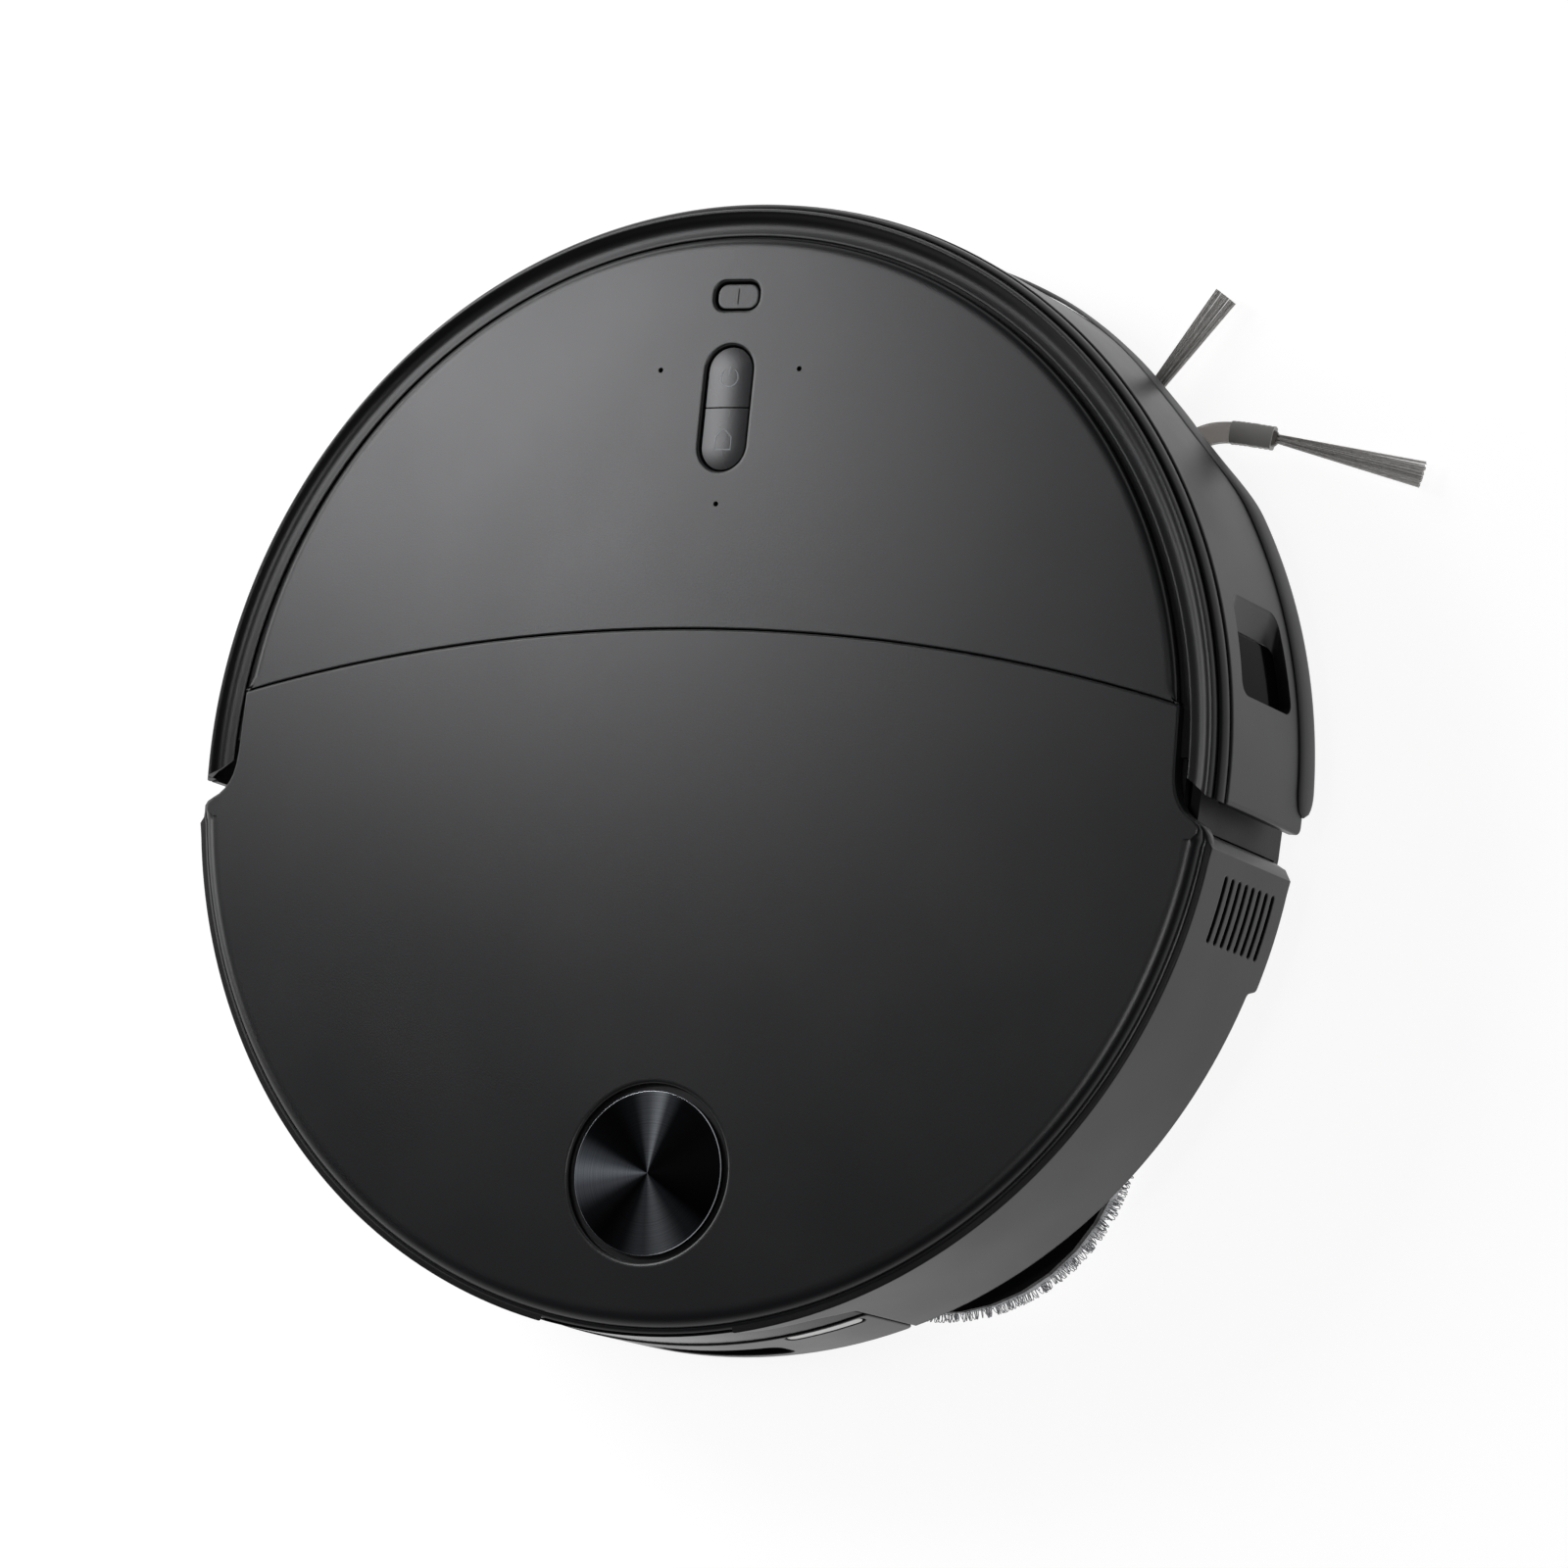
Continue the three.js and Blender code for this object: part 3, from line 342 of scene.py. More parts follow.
# ---- Side brush -----------------------------------------------------------
# A two-armed brush under the robot's front right, pushed onto a geared shaft. Its hub and curved
# arms are one moulding of translucent smoky TPU, and grey nylon bristles are clamped at each tip.
SIDE_HUB = (-122.3, -80.1)
ARM_PATH = ((0, 0), (2, -18), (0, -32), (-4.7, -36.1), (-13.7, -37.2), (-30, -35))
ARM_LOW, ARM_HIGH = -4.6, -1.2
ARM_WIDTHS = (8.0, 6.5)
ARM_TURNS = (("front", 67.5), ("side", 0.0))
HUB_SECTION = ((0, -5.0), (8.3, -5.0), (9.2, -4.5), (9.5, -3.6), (9.5, -2.2), (9.1, -1.3), (8.4, -0.9), (3.4, -0.9),
               (3.0, -0.5), (3.0, 8.0), (0, 8.0))


def polar(radius, degrees, centre=(0, 0)):
    """A point at a compass angle about a centre, from +X towards +Y."""
    a = math.radians(degrees)
    return centre[0] + radius * math.cos(a), centre[1] + radius * math.sin(a)


def bridge(mesh, rows, first=0):
    """Skins neighbouring rows of points. Closed rows start at point 0, and open rows at point 1."""
    for low, high in zip(rows, rows[1:]):
        for i in range(first, len(low)):
            mesh.faces.new((low[i - 1], low[i], high[i], high[i - 1]))


def spun(section, centre, steps=128):
    """A solid of revolution from a section of (radius, height) that starts and ends on its axis."""
    mesh = bmesh.new()
    rows = []
    for radius, z in section:
        rows.append([mesh.verts.new((*polar(radius, 360 * i / steps, centre), z)) for i in range(steps)])
    bridge(mesh, rows)
    return mesh


def smooth_path(points, steps):
    """A smooth curve through points, by Catmull and Rom's rule, in even shares of its points."""
    padded = [2 * Vector(points[0]) - Vector(points[1])] + [Vector(p) for p in points]
    padded.append(2 * padded[-1] - padded[-2])
    curve = []
    for i in range(steps + 1):
        share = (len(points) - 1) * i / steps
        k = min(int(share), len(points) - 2)
        t = share - k
        a, b, c, d = padded[k:k + 4]
        curve.append(0.5 * (2 * b + (c - a) * t + (2 * a - 5 * b + 4 * c - d) * t * t
                            + (3 * b - a - 3 * c + d) * t ** 3))
    return curve


def limb(mesh, path, sizes, middle_z, turn_degrees, sides=12):
    """A closed bar with a flattened round section along a path about the hub. Sizes are (half
    width, half height) from a function of the share of its length."""
    turned = Matrix.Rotation(math.radians(turn_degrees), 2)
    rows = []
    last = len(path) - 1
    for i, point in enumerate(path):
        way = (path[min(i + 1, last)] - path[max(i - 1, 0)]).normalized()
        half_width, half_height = sizes(i / last)
        row = []
        for k in range(sides):
            a = 2 * math.pi * k / sides
            across, up = [math.copysign(abs(v) ** 0.6, v) for v in (math.cos(a), math.sin(a))]
            flat = turned @ (point + Vector((-way.y, way.x)) * across * half_width)
            row.append(mesh.verts.new((SIDE_HUB[0] + flat.x, SIDE_HUB[1] + flat.y, middle_z + up * half_height)))
        rows.append(row)
    bridge(mesh, rows)
    for row in (rows[0], rows[-1]):
        mesh.faces.new(row)


# TPU, injection moulded and polished: smoky, translucent and flexible.
smoky_tpu = moulding(
    "smoky_translucent_tpu", "8f8a86", 1.0, 0.02, 0.26, 0.05, IOR=1.5, Transmission_Weight=0.75)
# Grey nylon sleeve, moulded with small grip ribs.
sleeve_nylon = moulding("grey_nylon_sleeve", "9c9b99", 0.5, 0.02, 0.45, 0.05, IOR=1.53)

hub_mesh = spun(HUB_SECTION, SIDE_HUB, 64)
arm_curve = smooth_path(ARM_PATH, 60)
arm_middle = (ARM_LOW + ARM_HIGH) / 2
arm_thick = (ARM_HIGH - ARM_LOW) / 2


def arm_size(share):
    """The arm narrows from the hub outwards and is rounded off at its tip."""
    tip = math.sqrt(max(0.04, 1 - max(0.0, (share - 0.94) / 0.06) ** 2))
    half = (ARM_WIDTHS[0] + (ARM_WIDTHS[1] - ARM_WIDTHS[0]) * share) / 2
    return half * tip, arm_thick * tip


for _, turn_degrees in ARM_TURNS:
    limb(hub_mesh, arm_curve, arm_size, arm_middle, turn_degrees)
fit(hub_mesh, "side_brush_arms", "side_brush", "smoked_tpu", smoky_tpu, "side_brush_hub")
sleeve_mesh = bmesh.new()
sleeve_curve = smooth_path(ARM_PATH, 150)[120:147]


def sleeve_size(share):
    """Every third ring of the sleeve is a groove between its grip ribs."""
    return (3.75 if int(share * 26) % 3 else 3.5), 1.95


for _, turn_degrees in ARM_TURNS:
    limb(sleeve_mesh, sleeve_curve, sleeve_size, arm_middle, turn_degrees)
fit(sleeve_mesh, "side_brush_sleeves", "side_brush", "nylon_bristle", sleeve_nylon)

# Nylon monofilament, 0.3 mm thick and drawn a little coarser so that single bristles show.
BRISTLES = 64
BRISTLE_R = 0.19
BRISTLE_ROOT, BRISTLE_TIP = (-29.0, -35.2, -3.0), (-76.9, -24.2, -4.4)
ROOT_SPREAD, TIP_SPREAD = 1.3, 4.1
monofilament, filament_tree, filament_surface = surfaced(
    "nylon_monofilament", Base_Color=rgb("dcdad7"), IOR=1.53, Roughness=0.42, Transmission_Weight=0.25)
filament_place = add_node(filament_tree, "ShaderNodeTexCoord").outputs["Object"]
filament_tone = add_node(filament_tree, "ShaderNodeValToRGB", {0: noise(filament_tree, filament_place, 1.5)})
filament_tone.color_ramp.elements[0].color = rgb("b4b2ae")
filament_tone.color_ramp.elements[1].color = rgb("eeecea")
filament_tree.links.new(filament_tone.outputs[0], filament_surface.inputs["Base Color"])

bristle_tree, bristle_in, bristle_out = new_growth("bristles")
bristle_sockets = group_inputs(bristle_tree, ("Radius", "Length", "Root spread", "Tip spread"), ("Count", "Seed"))
length, root_spread, tip_spread, tuft_seed = [
    bristle_in.outputs[label] for label in ("Length", "Root spread", "Tip spread", "Seed")]
row_of_roots = add_node(bristle_tree, "GeometryNodeMeshLine", {
    "Count": bristle_in.outputs["Count"], "Offset": (0, 0, 0)})
spread_share = add_node(bristle_tree, "FunctionNodeRandomValue", {
    2: -1.0, 3: 1.0, "Seed": tuft_seed}, data_type="FLOAT").outputs[1]
height_share = add_node(bristle_tree, "FunctionNodeRandomValue", {
    2: -0.8 * MM, 3: 0.8 * MM, "Seed": calc(bristle_tree, "ADD", tuft_seed, 7.0)}, data_type="FLOAT").outputs[1]
root_place = add_node(bristle_tree, "ShaderNodeCombineXYZ", {
    "Y": calc(bristle_tree, "MULTIPLY", spread_share, root_spread), "Z": height_share})
rooted = add_node(bristle_tree, "GeometryNodeSetPosition", {
    0: row_of_roots.outputs[0], "Position": root_place.outputs[0]})
splay = calc(bristle_tree, "DIVIDE", calc(bristle_tree, "SUBTRACT", tip_spread, root_spread), length)
lean = add_node(bristle_tree, "ShaderNodeCombineXYZ", {
    "Y": math.pi / 2, "Z": calc(bristle_tree, "MULTIPLY", splay, spread_share)})
filament = add_node(bristle_tree, "GeometryNodeMeshCone", {
    "Vertices": 4, "Radius Top": bristle_in.outputs["Radius"], "Radius Bottom": bristle_in.outputs["Radius"],
    "Depth": length})
standing = add_node(bristle_tree, "GeometryNodeInstanceOnPoints", {
    "Points": rooted.outputs[0], "Instance": filament.outputs[0], "Rotation": lean.outputs[0]})
real = add_node(bristle_tree, "GeometryNodeRealizeInstances", {0: standing.outputs[0]})
hand_back(bristle_tree, bristle_out, real.outputs[0], monofilament)
bristle_way = Vector(BRISTLE_TIP) - Vector(BRISTLE_ROOT)
for seed, (place_name, turn_degrees) in enumerate(ARM_TURNS):
    start = bpy.data.meshes.new("bristle_start")
    sizes = [size * MM for size in (BRISTLE_R, bristle_way.length, ROOT_SPREAD, TIP_SPREAD)]
    tuft = grown(f"bristles_{place_name}", start, bristle_tree, bristle_sockets, (*sizes, BRISTLES, seed + 3),
                 "side_brush", "nylon_bristle", monofilament, f"side_bristles_{place_name}")
    turned = Matrix.Rotation(math.radians(turn_degrees), 4, "Z")
    aimed = bristle_way.to_track_quat("X", "Z").to_matrix().to_4x4()
    at_hub = Matrix.Translation(Vector((*SIDE_HUB, 0)) * MM)
    tuft.data.transform(at_hub @ turned @ Matrix.Translation(Vector(BRISTLE_ROOT) * MM) @ aimed)

# ---- Mops -----------------------------------------------------------------
# Two round pads turn under the back. Each is looped microfibre, knitted on a foam backing that is
# held by hook tape to a turning plate of black ABS, and the plates lift when the robot is on carpet.
MOP_X, MOP_Y = 64.5, 96.5
PAD_R, PAD_LOW, PAD_HIGH = 59.6, -7.2, -1.3
LOOP_HIGH, LOOP_WIDE, LOOP_THICK = 2.75, 1.5, 0.32
LOOPS_PER_M2 = 430000.0
dress(pan_abs, "mop_plate_left", "mop_plate_right")
# Looped microfibre, light grey: soft, dull and a little lighter where the fibres catch the light.
microfibre, fibre_tree, fibre_surface = surfaced(
    "looped_microfibre", Base_Color=rgb("b5b6b9"), Roughness=0.95, Sheen_Weight=0.35, Specular_IOR_Level=0.2)
fibre_place = add_node(fibre_tree, "ShaderNodeTexCoord").outputs["Object"]
fibre_tone = add_node(fibre_tree, "ShaderNodeValToRGB", {0: noise(fibre_tree, fibre_place, 9, 4.0)})
for stop, position, code in zip(fibre_tone.color_ramp.elements, (0.3, 0.7), ("a3a4a8", "c4c5c8")):
    stop.position, stop.color = position, rgb(code)
fibre_bump = add_node(fibre_tree, "ShaderNodeBump", {
    "Height": noise(fibre_tree, fibre_place, 0.35), "Distance": 0.12 * MM})
fibre_tree.links.new(fibre_tone.outputs[0], fibre_surface.inputs["Base Color"])
fibre_tree.links.new(fibre_bump.outputs[0], fibre_surface.inputs["Normal"])

loop_tree, loop_in, loop_out = new_growth("pile")
loop_sockets = group_inputs(
    loop_tree, ("Loops per square metre", "Loop height", "Loop width", "Yarn radius"), ("Seed",))
facing = add_node(loop_tree, "ShaderNodeSeparateXYZ", {0: add_node(loop_tree, "GeometryNodeInputNormal").outputs[0]})
working_side = add_node(loop_tree, "FunctionNodeCompare", {0: facing.outputs["Z"], 1: 0.3}, operation="LESS_THAN")
scattered = add_node(loop_tree, "GeometryNodeDistributePointsOnFaces", {
    "Mesh": loop_in.outputs[0], "Selection": working_side.outputs[0], "Seed": loop_in.outputs["Seed"]})
loop_tree.links.new(loop_in.outputs["Loops per square metre"], scattered.inputs["Density"])
half_ring = add_node(loop_tree, "GeometryNodeCurveArc", {
    "Resolution": 6, "Radius": 1.0, "Start Angle": 0.0, "Sweep Angle": math.pi}, mode="RADIUS")
stood = add_node(loop_tree, "GeometryNodeTransform", {0: half_ring.outputs[0], "Rotation": (math.pi / 2, 0, 0)})
loop_scale = add_node(loop_tree, "ShaderNodeCombineXYZ", {
    "X": loop_in.outputs["Loop width"], "Y": loop_in.outputs["Loop width"], "Z": loop_in.outputs["Loop height"]})
sized = add_node(loop_tree, "GeometryNodeTransform", {0: stood.outputs[0], "Scale": loop_scale.outputs[0]})
yarn = add_node(loop_tree, "GeometryNodeCurvePrimitiveCircle", {
    "Resolution": 3, "Radius": loop_in.outputs["Yarn radius"]})
loop_mesh = add_node(loop_tree, "GeometryNodeCurveToMesh", {0: sized.outputs[0], 1: yarn.outputs[0]})
turn_about = add_node(loop_tree, "FunctionNodeRandomValue", {2: -math.pi, 3: math.pi, "Seed": 5}, data_type="FLOAT")
own_turn = add_node(loop_tree, "FunctionNodeRotateRotation", {
    0: scattered.outputs["Rotation"],
    1: add_node(loop_tree, "ShaderNodeCombineXYZ", {"Z": turn_about.outputs[1]}).outputs[0]}, rotation_space="LOCAL")
knitted = add_node(loop_tree, "GeometryNodeInstanceOnPoints", {
    "Points": scattered.outputs["Points"], "Instance": loop_mesh.outputs[0], "Rotation": own_turn.outputs[0]})
real = add_node(loop_tree, "GeometryNodeRealizeInstances", {0: knitted.outputs[0]})
with_backing = add_node(loop_tree, "GeometryNodeJoinGeometry", {0: real.outputs[0]})
loop_tree.links.new(loop_in.outputs[0], with_backing.inputs[0])
hand_back(loop_tree, loop_out, with_backing.outputs[0], microfibre)
pad_section = ((0, PAD_LOW), (PAD_R - 3, PAD_LOW), (PAD_R - 1, PAD_LOW + 0.6), (PAD_R, PAD_LOW + 2),
               (PAD_R, PAD_HIGH - 1.6), (PAD_R - 0.6, PAD_HIGH - 0.5), (PAD_R - 1.8, PAD_HIGH), (0, PAD_HIGH))
for seed, (side, name) in enumerate(((1, "left"), (-1, "right"))):
    backing = spun(pad_section, (side * MOP_X, MOP_Y), 72)
    sizes = [size * MM for size in (LOOP_HIGH, LOOP_WIDE / 2, LOOP_THICK / 2)]
    pad = grown(f"mop_pile_{name}", welded(backing, "pad_backing"), loop_tree, loop_sockets,
                (LOOPS_PER_M2, *sizes, seed + 11), f"mop_{name}", "microfibre", microfibre, f"mop_pad_{name}")


# ---- Bumper ---------------------------------------------------------------
# A curved shell of black ABS, injection moulded with a satin grain, that floats on springs round
# the front half. A softer gloss black trim is clipped along its top, a rubber strip along its foot.
BODY_R = 175.0
SHELL_WALL = 2.9
BUMPER_END = (-174.8, 8.5)
BUMPER_LOW, BUMPER_HIGH = 6.8, 61.9
ARCH_FROM, ARCH_TO, ARCH_RISE = 43.0, 52.0, 12.5
WINDOW = (17.2, 54.0)
FRONT_WINDOW = (-48.3, 48.3, 21.7, 50.3)


def arc(radius, first, last, steps, centre=(0, 0)):
    """Points along an arc, both ends included."""
    return [polar(radius, first + (last - first) * i / steps, centre) for i in range(steps + 1)]


def filleted(corners, steps=6):
    """A closed outline from (x, y, radius) corners, each one rounded to its radius."""
    loop = []
    for i, (x, y, radius) in enumerate(corners):
        here = Vector((x, y))
        back = (Vector(corners[i - 1][:2]) - here).normalized()
        on = (Vector(corners[(i + 1) % len(corners)][:2]) - here).normalized()
        half = back.angle(on) / 2
        if radius == 0 or half > 1.56:
            loop.append((x, y))
            continue
        centre = here + (back + on).normalized() * radius / math.sin(half)
        start = here + back * radius / math.tan(half) - centre
        sweep = (math.pi - 2 * half) * (1 if on.cross(back) > 0 else -1)
        for k in range(steps + 1):
            a = sweep * k / steps
            loop.append((centre.x + start.x * math.cos(a) - start.y * math.sin(a),
                         centre.y + start.x * math.sin(a) + start.y * math.cos(a)))
    return loop


def rounded_box(left, right, low, high, radius, steps=6):
    """An upright rectangle with its corners rounded alike."""
    corners = ((left, low), (right, low), (right, high), (left, high))
    return filleted([(x, y, radius) for x, y in corners], steps)


def ease(share):
    """A smooth step from 0 to 1."""
    share = max(0.0, min(1.0, share))
    return share * share * (3 - 2 * share)


def outward(loop):
    """For each point of a closed outline, the mitred step away from the material on its left."""
    steps = []
    for i, (x, y) in enumerate(loop):
        before, after = loop[i - 1], loop[(i + 1) % len(loop)]
        first = Vector((y - before[1], before[0] - x)).normalized()
        second = Vector((after[1] - y, x - after[0])).normalized()
        middle = (first + second).normalized()
        steps.append(middle / max(0.5, middle.dot(first)))
    return steps


def edge_ring(base, top, radius, steps=4, support=0.5):
    """Rings of (inset, height) up a wall from base, over a rounded edge and a little onto the face."""
    rings = [(0, base)]
    for i in range(steps + 1):
        a = math.pi / 2 * i / steps
        rings.append((radius * (1 - math.cos(a)), top - radius * (1 - math.sin(a))))
    rings.append((radius + support, top))
    return rings


def slab(outlines, edges, cuts=(), place=None):
    """A closed plate: the wall of each outline rises through its rings, and both faces are filled.
    It can be cut across at some lengths and then bent onto a path."""
    mesh = bmesh.new()
    rims = ([], [])
    for loop, edge in zip(outlines, edges):
        steps = outward(loop)
        rows = []
        for inset, height in edge:
            row = []
            for (x, y), step in zip(loop, steps):
                way = inset(x, y) if callable(inset) else inset
                up = height(x, y) if callable(height) else height
                shift = way if isinstance(way, Vector) else step * -way
                row.append(mesh.verts.new((x + shift.x, y + shift.y, up)))
            rows.append(row)
        bridge(mesh, rows)
        for rim, row in zip(rims, (rows[0], rows[-1])):
            rim += [mesh.edges.get((row[i - 1], row[i])) for i in range(len(row))]
    for rim in rims:
        bmesh.ops.triangle_fill(mesh, use_beauty=True, edges=rim, normal=(0, 0, 1))
    for cut in cuts:
        whole = mesh.verts[:] + mesh.edges[:] + mesh.faces[:]
        bmesh.ops.bisect_plane(mesh, geom=whole, plane_co=(cut, 0, 0), plane_no=(1, 0, 0))
    for vert in mesh.verts if place else ():
        vert.co = place(*vert.co)
    return mesh


def bent(path):
    """Bends (along, up, out) onto a wall whose plan is a path run anticlockwise, from its middle."""
    lengths = [0.0]
    for a, b in zip(path, path[1:]):
        lengths.append(lengths[-1] + math.dist(a, b))
    sides = []
    for i in range(len(path)):
        a, b = path[max(i - 1, 0)], path[min(i + 1, len(path) - 1)]
        sides.append(Vector((b[1] - a[1], a[0] - b[0])).normalized())
    middle = lengths[-1] / 2

    def place(along, up, out):
        s = along + middle
        i = min(max(bisect_right(lengths, s) - 1, 0), len(path) - 2)
        t = (s - lengths[i]) / (lengths[i + 1] - lengths[i])
        side = sides[i].lerp(sides[i + 1], min(max(t, 0), 1)).normalized()
        x = path[i][0] + (path[i + 1][0] - path[i][0]) * t
        y = path[i][1] + (path[i + 1][1] - path[i][1]) * t
        return Vector((x + side.x * out, y + side.y * out, up))

    return place, middle


def every(step, half):
    """Even places from -half to half, at most a step apart."""
    count = math.ceil(half / step)
    return [half * i / count for i in range(-count + 1, count)]


def swept(section, ends, steps):
    """A closed section of (radius, height) swept about the upright axis, each radius from its own
    first angle to its own last one. A whole turn has no end caps."""
    mesh = bmesh.new()
    rows = []
    whole = ends(section[0][0])[1] - ends(section[0][0])[0] >= 360
    for radius, height in section:
        first, last = ends(radius)
        turns = range(steps if whole else steps + 1)
        places = [polar(radius, first + (last - first) * i / steps) for i in turns]
        rows.append([mesh.verts.new((x, y, height)) for x, y in places])
    bridge(mesh, rows + rows[:1], 0 if whole else 1)
    if not whole:
        for end in (0, -1):
            mesh.faces.new([row[end] for row in rows])
    return mesh


# ABS moulded against a fine satin grain: an even soft sheen with no sharp reflections.
satin_abs = moulding("moulded_satin_abs", "151516", 0.5, 0.02, 0.36, 0.03, IOR=1.48, Specular_IOR_Level=0.3)
# The trim's mould is polished finer, which draws the light out into long soft lines.
trim_abs = moulding("moulded_polished_abs", "101011", 0.5, 0.008, 0.3, 0.02, IOR=1.5, Specular_IOR_Level=0.34)
# Over-moulded rubber: darker and duller than the shell it protects.
strip_rubber = moulding("overmoulded_rubber", "1c1c1d", 0.6, 0.03, 0.5, 0.04, IOR=1.48)

front_end = math.degrees(math.acos(-BUMPER_END[1] / BODY_R)) + 90
front_path, front_half = bent(arc(BODY_R, 270 - front_end + 90, 270 + front_end - 90, 370))


def at_front(degrees):
    """Length along the bumper at an angle from straight ahead, towards the robot's right."""
    return -math.radians(degrees) * BODY_R


foot = [(-front_half, BUMPER_LOW, 2.5), (at_front(58), BUMPER_LOW, 14), (at_front(ARCH_TO), BUMPER_LOW + ARCH_RISE, 10),
        (at_front(ARCH_FROM), BUMPER_LOW + ARCH_RISE, 14), (at_front(32.5), BUMPER_LOW, 14),
        (front_half, BUMPER_LOW, 2.5)]
shell_outline = filleted(foot + [(front_half, BUMPER_HIGH, 1.0), (-front_half, BUMPER_HIGH, 1.0)])
window_u = (at_front(81.5), at_front(71.2))
side_window = filleted([(window_u[0], WINDOW[0], 4), (window_u[1], WINDOW[0] + 1.5, 5),
                        (window_u[1], WINDOW[1] - 1.5, 5), (window_u[0], WINDOW[1], 4)])[::-1]
front_window = rounded_box(*FRONT_WINDOW, 6)[::-1]
RAMP, SINK = 9.0, 4.2
BLUNT = ((1.0, 1.0), (0.7, 0.72), (0.35, 0.4), (0.1, 0.12))


def ramp(share):
    """The front wall of the side window slopes back, so that the sensor can look behind it."""
    return lambda x, y: Vector((-RAMP * share if x > (window_u[0] + window_u[1]) / 2 else 0.0, 0.0))


side_rings = [(ramp(run), -SINK * fall) for run, fall in BLUNT] + [(0.0, -0.15), (0.15, 0.0), (0.7, 0.0)]
front_rings = [(0, -SHELL_WALL), (0, -0.5), (0.15, -0.15), (0.5, 0.0), (1.0, 0.0)]

shell = slab([shell_outline, side_window, front_window],
             [edge_ring(-SHELL_WALL, 0, 0.7), side_rings, front_rings],
             every(5, front_half), front_path)
fit(shell, "bumper_skin", "bumper", "black_abs_wall", satin_abs, "bumper_shell")

glass = slab([rounded_box(at_front(82), at_front(74.4), WINDOW[0] + 0.5, WINDOW[1] - 0.5, 4)],
             [edge_ring(-SINK - 1.0, -SINK + 0.6, 0.4)], every(4, front_half), front_path)
fit(glass, "side_window_glass", "bumper", "infrared_glass", infrared, "side_sensor_glass")
glass = slab([rounded_box(-47.9, 47.9, 22.1, 49.9, 5.6)],
             [edge_ring(-2.6, -0.45, 0.3)], every(4, front_half), front_path)
fit(glass, "front_window_glass", "bumper", "infrared_glass", infrared, "front_sensor_glass")

trim_section = [
    (172.25, 62.4), (174.3, 62.4), (174.4, 62.6), (174.4, 63.4), (174.3, 64.2), (174.0, 65.0), (173.5, 65.7),
    (173.0, 66.1), (172.7, 66.2), (172.5, 66.1), (172.4, 65.7), (172.35, 65.2), (172.15, 65.2), (172.15, 66.6),
    (172.1, 67.4), (171.95, 68.0), (171.75, 68.4), (171.4, 68.72), (171.0, 68.75), (170.6, 68.6), (170.0, 68.2),
    (169.3, 67.7), (168.5, 67.3), (167.5, 67.0), (166.5, 66.88), (165.5, 66.9), (164.5, 67.0), (163.9, 67.05),
    (163.6, 66.95), (163.5, 66.5), (163.5, 66.35), (169.0, 66.3), (172.25, 65.0)]


def trim_ends(radius):
    """The trim is cut off on the slant over its shoulder, and square outside it."""
    stop = 1.2 + (radius - 162.6) * 0.714 if radius < 171.2 else 7.3 + (radius - 171.2) * 0.35
    reach = math.degrees(math.asin(stop / radius))
    return 180 - reach, 360 + reach


fit(swept(trim_section, trim_ends, 240), "bumper_trim_skin", "bumper", "black_gloss_trim", trim_abs, "bumper_trim")


def over_brush(degrees, rise_from, rise_to, fall_from, fall_to):
    """A smooth share, 1 over the side brush, by angle from straight ahead to the right."""
    return ease((degrees - rise_from) / (rise_to - rise_from)) * ease((fall_to - degrees) / (fall_to - fall_from))


STRIP_Z, STRIP_MIDDLE, STRIP_ENDS, STRIP_STEPS = 2.8, 4.5, 91.0, 360
STRIP_SECTION = ((0.25, 0.0), (1.2, -0.3), (1.75, 0.6), (1.95, 2.2), (1.9, 5.0), (1.6, 7.6), (0.9, 9.0), (0.25, 9.3))
strip_mesh = bmesh.new()
strip_rows = []
for i in range(STRIP_STEPS + 1):
    degrees = -STRIP_ENDS + 2 * STRIP_ENDS * i / STRIP_STEPS
    tip = min(1.0, math.radians(STRIP_ENDS - abs(degrees)) * BODY_R / 8)
    swell = math.sqrt(max(0.0, 1 - (1 - tip) ** 2)) + 0.02
    base = STRIP_Z + ARCH_RISE * over_brush(degrees, 31, 46, 49, 59)
    proud = 0.8 - 0.6 * over_brush(degrees, 26, 37, 52, 60)
    row = []
    for out, up in STRIP_SECTION:
        x, y = polar(BODY_R + 0.05 + out * proud * (0.3 + 0.7 * swell), 270 - degrees)
        row.append(strip_mesh.verts.new((x, y, base + STRIP_MIDDLE + (up - STRIP_MIDDLE) * swell)))
    strip_rows.append(row)
bridge(strip_mesh, strip_rows)
for row in (strip_rows[0], strip_rows[-1]):
    strip_mesh.faces.new(row)
fit(strip_mesh, "bumper_strip_skin", "bumper", "soft_rubber", strip_rubber, "bumper_strip", crease=50)

# ---- Rear wall ------------------------------------------------------------
# The rear half of the side is a second ABS shell, screwed to the base pan from below. Its front
# ends turn inwards at the bumper, its right side is slotted for the fan, and its foot steps up.
WALL_LOW, WALL_STEP, WALL_HIGH = 8.0, 13.0, 66.9
WALL_R = BODY_R - 0.2
VENT_COUNT, VENT_Z, VENT_PITCH, VENT_Y = 8, 17.4, 4.96, (48, 28.3)
wall_side = [(164.6, 15.6), (166.6, 16.5), (168.6, 17.2), (170.3, 18.0), (171.8, 19.1), (172.9, 20.6), (173.6, 22.4)]
WALL_FROM = 8.1
wall_plan = wall_side + arc(WALL_R, WALL_FROM, 180 - WALL_FROM, 330) + [(-x, y) for x, y in wall_side[::-1]]
wall_path, wall_half = bent(wall_plan)


def at_rear(y):
    """Length along the right half of the rear wall at some distance behind the middle."""
    return (math.pi / 2 - math.asin(y / WALL_R)) * WALL_R


